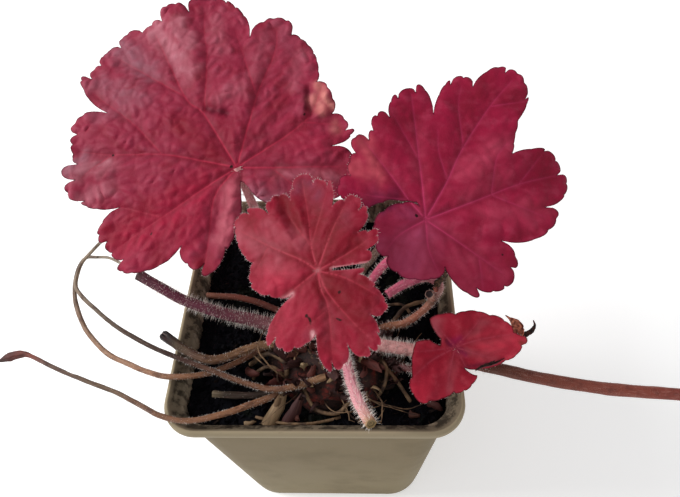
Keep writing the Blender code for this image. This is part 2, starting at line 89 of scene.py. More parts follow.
class Finish:                        # one material, built node by node
    def __init__(self, name, fixed=None):
        self.material = bpy.data.materials.new(name)
        self.material.use_nodes = True
        self.nodes = self.material.node_tree.nodes
        self.links = self.material.node_tree.links
        self.shader = self.nodes["Principled BSDF"]
        for socket, value in (fixed or {}).items():
            self.shader.inputs[socket].default_value = value

    def node(self, kind, settings=None, values=None, result=0):
        made = self.nodes.new("ShaderNode" + kind)
        for name, value in (settings or {}).items():
            if name == "stops":
                self.setStops(made.color_ramp.elements, value)
            else:
                setattr(made, name, value)
        for socket, value in (values or {}).items():
            self.feed(made.inputs[socket], value)
        return Wire(self, made.outputs[result])

    def setStops(self, elements, stops):
        while len(elements) < len(stops):
            elements.new(0.5)
        for element, (place, colour) in zip(elements, stops):
            element.position = place
            element.color = colour

    def feed(self, socket, value):
        if isinstance(value, Wire):
            self.links.new(value.socket, socket)
        else:
            socket.default_value = value

    def mark(self, name):            # a number kept on the mesh
        return self.node("Attribute", {"attribute_name": name}, result=2)

    def skin(self):                  # the piece's own coordinates, in millimetres along its surface
        return self.node("Attribute", {"attribute_name": "skin"}, result=1)

    def place(self):                 # the object's coordinates in millimetres
        coordinates = self.node("TexCoord", result=3)
        return self.stretch(coordinates, (1 / mm, 1 / mm, 1 / mm))

    def stretch(self, vector, sizes):
        return self.node("VectorMath", {"operation": "MULTIPLY"}, {0: vector, 1: sizes})

    def cloud(self, where, size, detail=4.0, roughness=0.55):
        return self.node("TexNoise", {}, {"Vector": where, "Scale": 1 / size, "Detail": detail,
                                          "Roughness": roughness})

    def cells(self, where, size):    # the distance to the walls between random cells
        return self.node("TexVoronoi", {"feature": "DISTANCE_TO_EDGE"}, {"Vector": where, "Scale": 1 / size})

    def mix(self, first, second, share):
        return self.node("Mix", {"data_type": "RGBA"}, {0: share, 6: first, 7: second}, 2)

    def coat(self, under, shade, share):     # a screen colour over what is there, as far as the share says
        return self.mix(under, tint(*shade), share)

    def ramp(self, value, stops):
        return self.node("ValToRGB", {"stops": stops}, {0: value})

    def close(self, colour, roughness, height=None, relief=0.2):
        self.feed(self.shader.inputs["Base Color"], colour)
        self.feed(self.shader.inputs["Roughness"], roughness)
        if height is not None:
            bump = self.node("Bump", {}, {"Strength": 1.0, "Distance": relief * mm, "Height": height})
            self.feed(self.shader.inputs["Normal"], bump)
        return self.material


# Mesh tools
def addMesh(name, points, faces, marks=None, faceMarks=None):
    mesh = bpy.data.meshes.new(name)
    mesh.from_pydata((np.array(points, float) * mm).tolist(), [], faces)
    for domain, group in (("POINT", marks or {}), ("FACE", faceMarks or {})):
        for label, values in group.items():
            values = np.array(values, np.float32)
            kind, field = ("FLOAT_VECTOR", "vector") if values.ndim == 2 else ("FLOAT", "value")
            mesh.attributes.new(label, kind, domain).data.foreach_set(field, values.ravel())
    item = bpy.data.objects.new(name, mesh)
    bpy.context.scene.collection.objects.link(item)
    return item


def settle(item, nodes=(), material=None, crease=50):
    if material:
        item.data.materials.clear()
        item.data.materials.append(material)
    item.data.shade_smooth()
    item.data.set_sharp_from_angle(angle=math.radians(crease))
    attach(item, "root")
    if nodes:
        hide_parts(*nodes)
    return item


def smoothRoute(points, steps):      # a Catmull-Rom curve through the points
    points = [np.array(point, float) for point in points]
    padded = [2 * points[0] - points[1]] + points + [2 * points[-1] - points[-2]]
    route = []
    for index in range(1, len(padded) - 2):
        before, start, end, after = padded[index - 1:index + 3]
        for step in range(steps):
            t = step / steps
            bend = 2 * before - 5 * start + 4 * end - after
            twist = 3 * start - before - 3 * end + after
            route.append(0.5 * (2 * start + (end - before) * t + bend * t ** 2 + twist * t ** 3))
    route.append(points[-1])
    return np.array(route)


def evenly(route, spacing):          # the same route with its points a set distance apart
    lengths = np.concatenate(([0], np.cumsum(np.linalg.norm(np.diff(route, axis=0), axis=1))))
    count = max(2, int(round(lengths[-1] / spacing)) + 1)
    places = np.linspace(0, lengths[-1], count)
    return np.stack([np.interp(places, lengths, route[:, axis]) for axis in range(route.shape[1])], 1)


def waviness(points, size, shift=0.0):     # smooth noise from -1 to 1 at each point
    return np.array([noise.noise(Vector((x / size + shift, y / size - shift, z / size)))
                     for x, y, z in points])


# Geometry node tools
class Recipe:                        # one geometry node tree, whose inputs have names
    def __init__(self, name, inputs):
        self.tree = bpy.data.node_groups.new(name, "GeometryNodeTree")
        face = self.tree.interface
        face.new_socket("Geometry", in_out="INPUT", socket_type="NodeSocketGeometry")
        for label, kind in inputs.items():
            face.new_socket(label, in_out="INPUT", socket_type="NodeSocket" + kind)
        face.new_socket("Geometry", in_out="OUTPUT", socket_type="NodeSocketGeometry")
        self.entry = self.tree.nodes.new("NodeGroupInput").outputs
        self.exit = self.tree.nodes.new("NodeGroupOutput").inputs[0]

    def node(self, kind, settings=None, values=None, result=0):
        made = self.tree.nodes.new(kind)
        for name, value in (settings or {}).items():
            setattr(made, name, value)
        for socket, value in (values or {}).items():
            if isinstance(value, bpy.types.NodeSocket):
                self.tree.links.new(value, made.inputs[socket])
            else:
                made.inputs[socket].default_value = value
        return made.outputs[result]

    def times(self, first, second):
        return self.node("ShaderNodeMath", {"operation": "MULTIPLY"}, {0: first, 1: second})

    def scaled(self, vector, amount):
        return self.node("ShaderNodeVectorMath", {"operation": "SCALE"}, {0: vector, 3: amount})

    def added(self, first, second):
        return self.node("ShaderNodeVectorMath", {"operation": "ADD"}, {0: first, 1: second})

    def randomVector(self, low, high, seed):
        return self.node("FunctionNodeRandomValue", {"data_type": "FLOAT_VECTOR"},
                         {0: low, 1: high, 8: seed})

    def randomNumber(self, low, high, seed):
        return self.node("FunctionNodeRandomValue", {"data_type": "FLOAT"}, {2: low, 3: high, 8: seed}, 1)

    def scatter(self, mark):         # points on the faces, as many per square millimetre as Density says
        marked = self.node("GeometryNodeInputNamedAttribute", {"data_type": "FLOAT"}, {"Name": mark})
        perMetre = self.times(self.times(self.entry["Density"], marked), 1 / mm ** 2)
        made = self.tree.nodes.new("GeometryNodeDistributePointsOnFaces")
        self.tree.links.new(self.entry["Geometry"], made.inputs["Mesh"])
        self.tree.links.new(perMetre, made.inputs["Density"])
        self.tree.links.new(self.entry["Seed"], made.inputs["Seed"])
        return made.outputs["Points"], made.outputs["Normal"]

    def close(self, geometry):
        whole = self.node("GeometryNodeRealizeInstances", {}, {0: geometry})
        whole = self.node("GeometryNodeSetMaterial", {}, {0: whole, 2: self.entry["Material"]})
        self.tree.links.new(whole, self.exit)


def grow(recipe, host, name, choices):       # a plain mesh of what the tree makes on the host
    item = bpy.data.objects.new(name, host.data)
    bpy.context.scene.collection.objects.link(item)
    modifier = item.modifiers.new("grow", "NODES")
    modifier.node_group = recipe.tree
    for socket in recipe.tree.interface.items_tree:
        if socket.in_out == "INPUT" and socket.name in choices:
            modifier[socket.identifier] = choices[socket.name]
    graph = bpy.context.evaluated_depsgraph_get()
    mesh = bpy.data.meshes.new_from_object(item.evaluated_get(graph))
    item.modifiers.clear()
    item.data = mesh
    mesh.name = name
    return item


# how wide the hairs are, how far they lean and bend, and their two colours
hairLook = {
    "white hairs": {"Width": 0.1, "Lean": 0.22, "Bend": 0.15, "root": (226, 212, 200),
                    "tip": (252, 248, 242)},
    "fine fuzz": {"Width": 0.05, "Lean": 0.6, "Bend": 0.2, "root": (150, 112, 100), "tip": (206, 180, 164)},
    "margin hairs": {"Width": 0.09, "Lean": 0.5, "Bend": 0.25, "root": (222, 190, 188),
                     "tip": (250, 238, 234)},
}


def hairRecipe():
    recipe = Recipe("hairs", {"Density": "Float", "Length": "Float", "Width": "Float", "Lean": "Float",
                              "Bend": "Float", "Seed": "Int", "Material": "Material"})
    entry = recipe.entry
    points, normal = recipe.scatter("fuzz")
    wander = recipe.randomVector((-1, -1, -1), (1, 1, 1), entry["Seed"])
    aim = recipe.added(normal, recipe.scaled(wander, entry["Lean"]))
    turn = recipe.node("FunctionNodeAlignRotationToVector", {"axis": "Z"}, {"Vector": aim})
    spin = recipe.randomVector((0, 0, 0), (0, 0, math.tau), 5)
    spin = recipe.node("FunctionNodeEulerToRotation", {}, {0: spin})
    turn = recipe.node("FunctionNodeRotateRotation", {"rotation_space": "LOCAL"}, {0: turn, 1: spin})
    cone = recipe.node("GeometryNodeMeshCone", {"fill_type": "NGON"},
                       {"Vertices": 3, "Side Segments": 2, "Radius Top": 0.0, "Radius Bottom": 0.5,
                        "Depth": 1.0})
    split = recipe.tree.nodes.new("ShaderNodeSeparateXYZ")
    recipe.tree.links.new(recipe.node("GeometryNodeInputPosition"), split.inputs[0])
    arc = recipe.times(split.outputs["Z"], split.outputs["Z"])
    push = recipe.node("ShaderNodeCombineXYZ", {}, {"X": recipe.times(arc, entry["Bend"])})
    hair = recipe.node("GeometryNodeSetPosition", {}, {"Geometry": cone, "Offset": push})
    tall = recipe.times(entry["Length"], recipe.randomNumber(0.45, 1.0, 9))
    sizes = recipe.node("ShaderNodeCombineXYZ", {}, {"X": entry["Width"], "Y": entry["Width"], "Z": tall})
    hairs = recipe.node("GeometryNodeInstanceOnPoints", {},
                        {"Points": points, "Instance": hair, "Rotation": turn,
                         "Scale": recipe.scaled(sizes, mm)})
    recipe.close(hairs)
    return recipe


def crumbRecipe():
    recipe = Recipe("crumbs", {"Density": "Float", "Smallest": "Vector", "Largest": "Vector",
                               "Roughness": "Float", "Seed": "Int", "Material": "Material"})
    entry = recipe.entry
    points, _ = recipe.scatter("bare")
    ball = recipe.node("GeometryNodeMeshIcoSphere", {}, {"Radius": 0.5, "Subdivisions": 1})
    dent = recipe.randomVector((-1, -1, -1), (1, 1, 1), 3)
    lump = recipe.node("GeometryNodeSetPosition", {},
                       {"Geometry": ball, "Offset": recipe.scaled(dent, entry["Roughness"])})
    turn = recipe.randomVector((0, 0, 0), (math.tau, math.tau, math.tau), 7)
    turn = recipe.node("FunctionNodeEulerToRotation", {}, {0: turn})
    size = recipe.randomVector(entry["Smallest"], entry["Largest"], entry["Seed"])
    crumbs = recipe.node("GeometryNodeInstanceOnPoints", {},
                         {"Points": points, "Instance": lump, "Rotation": turn,
                          "Scale": recipe.scaled(size, mm)})
    recipe.close(crumbs)
    return recipe


def strandRecipe():                  # edges become round strands, as thick as their points say
    recipe = Recipe("strands", {"Sides": "Int", "Material": "Material"})
    path = recipe.node("GeometryNodeMeshToCurve", {}, {0: recipe.entry["Geometry"]})
    ring = recipe.node("GeometryNodeCurvePrimitiveCircle", {},
                       {"Resolution": recipe.entry["Sides"], "Radius": mm})
    thick = recipe.node("GeometryNodeInputNamedAttribute", {"data_type": "FLOAT"}, {"Name": "thick"})
    strands = recipe.node("GeometryNodeCurveToMesh", {},
                          {"Curve": path, "Profile Curve": ring, "Scale": thick, "Fill Caps": True})
    recipe.close(strands)
    return recipe


# Pot
potLook = {
    "rimWidth": 90.0, "height": 100.0, "baseWidth": 75.0, "rimCorner": 10.5, "wallCorner": 10.0,
    "baseCorner": 14.0, "lipOut": 2.8, "lipTall": 3.8, "wall": 1.3, "floor": 1.8, "footRound": 1.2,
    "cornerSteps": 14, "drainRadius": 3.5, "drainPlace": 21.0, "drainSides": 24, "shine": 0.04,
    # the lip's section: how far in from its widest part, and how far over its lower edge or under the top
    "lipLower": [(1.5, 0.1), (0.5, 0.4), (0.12, 0.9), (0, 1.6)],
    "lipUpper": [(0, -1.3), (0.1, -0.75), (0.35, -0.3), (0.7, -0.08), (1.0, 0), (1.3, -0.1), (1.7, -0.45),
                 (2.3, -1.3), (3.1, -2.6)],
    # heights between which the foot's paler colour ends, the inside turns darker towards the lip, and the
    # clean lip begins
    "paleFoot": (4, 70), "darkUnderLip": (95.5, 97), "cleanLip": (98.6, 99.6),
    # the rim colour is the lip's paler colour, painted light where the lip faces up to the lamps, and the
    # pale streaks' colour
    "wallColour": (122, 108, 82), "lowColour": (134, 121, 93), "rimColour": (150, 137, 113),
    "insideColour": (150, 136, 116), "stainColour": (98, 86, 64), "dirtColour": (30, 25, 22),
    "speckColour": (84, 74, 60),
}


def roundedSquare(half, corner, height, steps):
    ring = []
    for quarter in range(4):
        along, across = ((1, 1), (-1, 1), (-1, -1), (1, -1))[quarter]
        for step in range(steps + 1):
            angle = (quarter + step / steps) * math.pi / 2
            ring.append((along * (half - corner) + corner * math.cos(angle),
                         across * (half - corner) + corner * math.sin(angle), height))
    return ring


def potWall(look, height, inset=0.0):        # half the wall's width and its corner, at a height
    share = height / look["height"]
    top = look["rimWidth"] / 2 - look["lipOut"]
    half = look["baseWidth"] / 2 + (top - look["baseWidth"] / 2) * share
    corner = look["baseCorner"] + (look["wallCorner"] - look["baseCorner"]) * share
    return half - inset, corner - inset


def potProfile(look):                # (half width, corner, height) from the foot up, over the lip and down
    profile = []
    foot = look["footRound"]
    for angle in (0, 30, 60, 90):
        turn = math.radians(angle)
        half, corner = potWall(look, 0, foot * (1 - math.sin(turn)))
        profile.append((half, corner, foot * (1 - math.cos(turn))))
    low = look["height"] - look["lipTall"]
    for height in np.linspace(8, low, 12):
        profile.append((*potWall(look, height), height))
    half, corner, top = look["rimWidth"] / 2, look["rimCorner"], look["height"]
    lip = [(out, low + rise) for out, rise in look["lipLower"]]
    lip += [(out, top + rise) for out, rise in look["lipUpper"]]
    for out, height in lip:
        profile.append((half - out, corner - out * 0.7, height))
    for height in np.linspace(low - 0.4, look["floor"], 9):
        profile.append((*potWall(look, height, look["wall"]), height))
    return profile


def potMarks(profile, look):         # which rings lie inside the pot, and how near the rim they are
    turn = max(range(len(profile)), key=lambda index: profile[index][2] + index * 1e-6)
    low, high = look["height"] - look["lipTall"] - 0.3, look["height"] - look["lipTall"] + 0.6
    inner = [float(index > turn) for index in range(len(profile))]
    rim = [min(max((height - low) / (high - low), 0), 1) * (1 - 0.6 * inside)
           for (_, _, height), inside in zip(profile, inner)]
    return inner, rim


def makePot(look):
    steps = look["cornerSteps"]
    profile = potProfile(look)
    rings = [roundedSquare(half, corner, height, steps) for half, corner, height in profile]
    inner, rim = potMarks(profile, look)
    marks = {"inner": np.repeat(inner, len(rings[0])), "rim": np.repeat(rim, len(rings[0]))}
    pot = addMesh("pot_body", *loft(rings), marks)
    for across in (-1, 1):
        for along in (-1, 1):
            drain = drainCutter(look, across * look["drainPlace"], along * look["drainPlace"])
            cut = pot.modifiers.new("drain", "BOOLEAN")
            cut.operation = "DIFFERENCE"
            cut.solver = "EXACT"
            cut.object = drain
            graph = bpy.context.evaluated_depsgraph_get()
            pot.data = bpy.data.meshes.new_from_object(pot.evaluated_get(graph))
            pot.modifiers.clear()
            bpy.data.objects.remove(drain)
    settle(pot, ["pot"], potFinish(look), 40)


def drainCutter(look, across, along):
    sides = look["drainSides"]
    turns = [step / sides * math.tau for step in range(sides)]
    rings = [[(across + look["drainRadius"] * math.cos(turn), along + look["drainRadius"] * math.sin(turn),
               height) for turn in turns] for height in (-2, look["floor"] + 2)]
    return addMesh("drain", *loft(rings))


def loft(rings):                     # rings of equal length joined to a closed skin
    count = len(rings[0])
    points = [point for ring in rings for point in ring]
    faces = []
    for level in range(len(rings) - 1):
        for index in range(count):
            after = (index + 1) % count
            low, high = level * count, (level + 1) * count
            faces.append((low + index, low + after, high + after, high + index))
    faces.append(tuple(range(count))[::-1])
    faces.append(tuple(range((len(rings) - 1) * count, len(rings) * count)))
    return points, faces


def potFinish(look):
    paint = Finish("pot plastic", {"Specular IOR Level": look["shine"]})
    place = paint.place()
    tall = paint.node("SeparateXYZ", {}, {0: place}, 2)
    inside = paint.mark("inner")
    rim = paint.mark("rim")
    stain = paint.cloud(place, 16, 4)
    grain = paint.cloud(place, 0.35, 2)
    streak = paint.cloud(paint.stretch(place, (1, 1, 0.06)), 1.2, 3)
    high = tall.between(*look["paleFoot"])
    colour = paint.coat(tint(*look["wallColour"]), look["lowColour"], 1 - high)
    colour = paint.coat(colour, look["stainColour"], stain.between(0.45, 0.75) * 0.35)
    colour = paint.coat(colour, look["rimColour"], streak.between(0.55, 0.8) * 0.08)
    # the lip paler than the wall: painted light where it faces up to the lamps
    colour = paint.coat(colour, look["rimColour"], rim)
    colour = paint.coat(colour, look["insideColour"], inside * (1 - rim))
    run = paint.cloud(paint.stretch(place, (1, 1, 0.22)), 3.2, 4, 0.65)
    mud = paint.cloud(place, 1.6, 6, 0.75)
    soiled = (mud * 0.4 + run * 0.7).between(0.46, 0.62) * (1 - tall.between(*look["cleanLip"]) * 0.8)
    colour = paint.coat(colour, look["dirtColour"], soiled * inside * 0.8)
    # the inside darker towards the lip
    colour = paint.coat(colour, look["dirtColour"],
                        inside * tall.between(*look["darkUnderLip"]) * 0.5 * (1 - rim))
    splash = paint.cloud(place, 2.2, 6, 0.75).between(0.6, 0.72)
    colour = paint.coat(colour, look["stainColour"], splash * (0.1 + rim * 0.3))
    speck = paint.cloud(place, 0.8, 3, 0.7).between(0.7, 0.76)
    colour = paint.coat(colour, look["speckColour"], speck * 0.35)
    rough = 0.44 + stain * 0.14 + inside * 0.2
    return paint.close(colour, rough, grain * 0.6 + streak * 0.4, 0.04)


# Soil
soilLook = {
    "top": 91.5, "sunk": 0.5, "gap": 0.25, "grid": 0.75, "jitter": 0.3, "seed": 3, "edgeBare": 0.4,
    "shine": 0.1,
    # each layer of unevenness: its own level in the noise, fineness, height, and whether it folds to ridges
    "swells": [(0, 0.12, 2.2, False), (9, 0.35, 1.3, False), (20, 0.9, 1.4, True), (30, 2.2, 0.4, False)],
    # the near-black dark colour is tinted blue for the shade down in the pot: painted shade
    "dark": (2, 2, 8), "brown": (15, 12, 15), "chip": (50, 37, 30), "fibre": (64, 50, 38),
    "moss": (28, 34, 20),
    "soil_crumbs": {"Density": 0.6, "Smallest": (0.5, 0.5, 0.4), "Largest": (1.9, 1.8, 1.3),
                    "Roughness": 0.22, "Seed": 4},
    "soil_lumps": {"Density": 0.045, "Smallest": (1.8, 1.6, 1.2), "Largest": (4.0, 3.6, 2.4),
                   "Roughness": 0.16, "Seed": 8},
    "bark_chips": {"Density": 0.02, "Smallest": (1.2, 0.5, 0.3), "Largest": (4.6, 1.4, 0.7),
                   "Roughness": 0.12, "Seed": 21},
}


def makeSoil(look, crumbs):
    inset = potLook["wall"] + look["gap"]
    steps = potLook["cornerSteps"]
    levels = (potLook["floor"] + 0.3, look["top"] - 5, look["top"] - 1.2)
    rings = [roundedSquare(*potWall(potLook, height, inset), height, steps) for height in levels]
    points, faces = loft(rings)
    faces.pop()
    count = len(rings[0])
    half, corner = potWall(potLook, look["top"], inset)
    spots = [Vector(point[:2]) for point in rings[-1]]
    reach = int(half / look["grid"])
    draw = random.Random(look["seed"])
    for row in range(-reach, reach + 1):
        for column in range(-reach, reach + 1):
            x = (column + draw.uniform(-look["jitter"], look["jitter"])) * look["grid"]
            y = (row + draw.uniform(-look["jitter"], look["jitter"])) * look["grid"]
            past = math.hypot(max(abs(x) - half + corner, 0), max(abs(y) - half + corner, 0))
            if past < corner - 0.5:
                spots.append(Vector((x, y)))
    flat, _, triangles, origin, _, _ = delaunay_2d_cdt(spots, [], [list(range(count))], 1, 1e-4)
    index = {}
    bare = [0.0] * len(points)
    for number, spot in enumerate(flat):
        source = origin[number][0] if origin[number] else count
        if source < count:
            index[number] = 2 * count + source
            bare[2 * count + source] = look["edgeBare"]
            continue
        height = look["top"]
        for level, fineness, high, ridged in look["swells"]:
            swell = noise.noise(Vector((spot.x, spot.y, level)) * fineness)
            height += (abs(swell) if ridged else swell) * high
        index[number] = len(points)
        points.append((spot.x, spot.y, height - look["sunk"]))
        bare.append(1.0)
    top = [tuple(index[corner] for corner in triangle) for triangle in triangles]
    soil = addMesh("soil_bed", points, faces + top, {"bare": bare})
    dark = soilFinish("potting soil", look, look["brown"], 0.5)
    settle(soil, ["soil"], dark, 60)
    finishes = {"soil_crumbs": dark, "soil_lumps": soilFinish("soil lumps", look, look["brown"], 0.75),
                "bark_chips": soilFinish("bark", look, look["chip"], 0.95)}
    for name, material in finishes.items():
        piece = grow(crumbs, soil, name, {**look[name], "Material": material})
        settle(piece, (), None, 40)


def soilFinish(name, look, pale, share):
    paint = Finish(name, {"Specular IOR Level": look["shine"]})
    place = paint.place()
    patch = paint.cloud(place, 5, 5, 0.6)
    grit = paint.cloud(place, 0.7, 5, 0.7)
    colour = paint.coat(tint(*look["dark"]), pale, (patch * 0.6 + grit * 0.5).between(0.42, 0.72) * share)
    fibre = paint.cloud(paint.stretch(place, (0.25, 1.6, 1)), 0.8, 4)
    colour = paint.coat(colour, look["fibre"], fibre.between(0.68, 0.76) * 0.18)
    colour = paint.coat(colour, look["moss"], paint.cloud(place, 11, 2).between(0.58, 0.7) * 0.4)
    return paint.close(colour, 0.8 + patch * 0.18, grit + fibre * 0.4, 0.25)


# Leaves
# An edge runs round its stalk in scallops, counterclockwise: each one's starting angle, the reach of
# the notch there, and the reach of the bulge that follows.
leftEdge = [
    (300, 7.5, 16.5), (322, 20.2, 27.5), (343, 33, 36.5), (11, 29, 35.6), (18, 34.3, 35.6), (30, 33, 36.6),
    (49, 36.4, 41.6), (60, 45, 48), (72, 49, 54), (88, 46, 63), (109, 61.5, 66.8), (118, 63.2, 66),
    (125, 64.8, 69), (133, 65.5, 68.2), (141, 65, 66.4), (146, 63.5, 63.5), (154, 49.5, 57.5),
    (165, 55.5, 55), (176, 51, 54.8), (182, 51, 54.5), (190, 49, 47), (197, 38, 46), (209, 45, 45.5),
    (220, 43, 42), (238, 28.5, 32.5), (255, 30.5, 33), (266, 25, 18), (283, 6, 5),
]
rightEdge = [
    (112, 4.4, 6.4), (141, 7.7, 10), (169, 11.6, 15.2), (225, 15.2, 17.5), (289, 14.3, 23.0),
    (304, 23.0, 26.6), (318, 27.4, 28.2), (330, 26.2, 26.3), (345, 21.5, 34.5), (8, 34.8, 44.3),
    (21, 43.5, 45.8), (32, 43.4, 40.5), (39, 34, 38.6), (48, 43.6, 50.5), (51, 51.8, 58.4), (61, 57.3, 57),
    (69, 47.5, 50.5), (77, 46.5, 44.3), (83, 34, 42.8), (91, 41.4, 42.7), (99, 39.5, 39), (106, 33, 35),
    (117, 30.6, 30.4), (122, 28.6, 31.4), (134, 27.4, 27), (148, 24.2, 26), (165, 24, 21),
    (171, 16.5, 12.5), (142, 9.1, 7), (114, 5.8, 5),
]
frontEdge = [
    (4, 3.5, 8), (3, 12.3, 13.8), (17, 12.9, 16.9), (33, 15, 14.6), (39, 13.3, 18.4), (53, 17.5, 20.2),
    (68, 18.3, 17.8), (77, 16.4, 22), (84, 21.6, 23.8), (94, 23, 26.9), (108, 23.4, 23.2), (112, 21, 24.4),
    (130, 21.4, 26.4), (139, 26.3, 29.2), (150, 27.7, 24), (168, 18, 18.4), (185, 17.4, 16.6),
    (201, 13.2, 11.6), (220, 8.4, 19), (236, 18.4, 20.1), (253, 18.5, 17.4), (270, 14.9, 23),
    (280, 22.2, 24), (293, 19.5, 23.7), (304, 22.6, 24), (313, 21.2, 20.8), (319, 17.3, 19.8),
    (332, 18.7, 17.5), (340, 14.8, 13.8), (350, 10.6, 11.6), (358, 11.6, 8), (355, 3.5, 3.6),
]
foldedEdge = [
    (172, 4.4, 6.2), (163, 7.6, 9.8), (171, 11.6, 13.0), (209, 14.8, 17.4), (236, 15.8, 13.8),
    (262, 11.6, 11.2), (307, 9.6, 8.0), (292, 6.1, 7.5), (319, 8.8, 11.6), (346, 14.0, 16.6),
    (4, 17.6, 19.0), (13, 17.8, 16.9), (18, 16.2, 15.4), (46, 13.2, 11.5), (91, 9.6, 10.3),
    (131, 10.6, 7.8), (150, 4.7, 4.3),
]
reliefWay = np.array((0.06, -0.6, 0.8))      # the way that every blade's waves and folds stand out
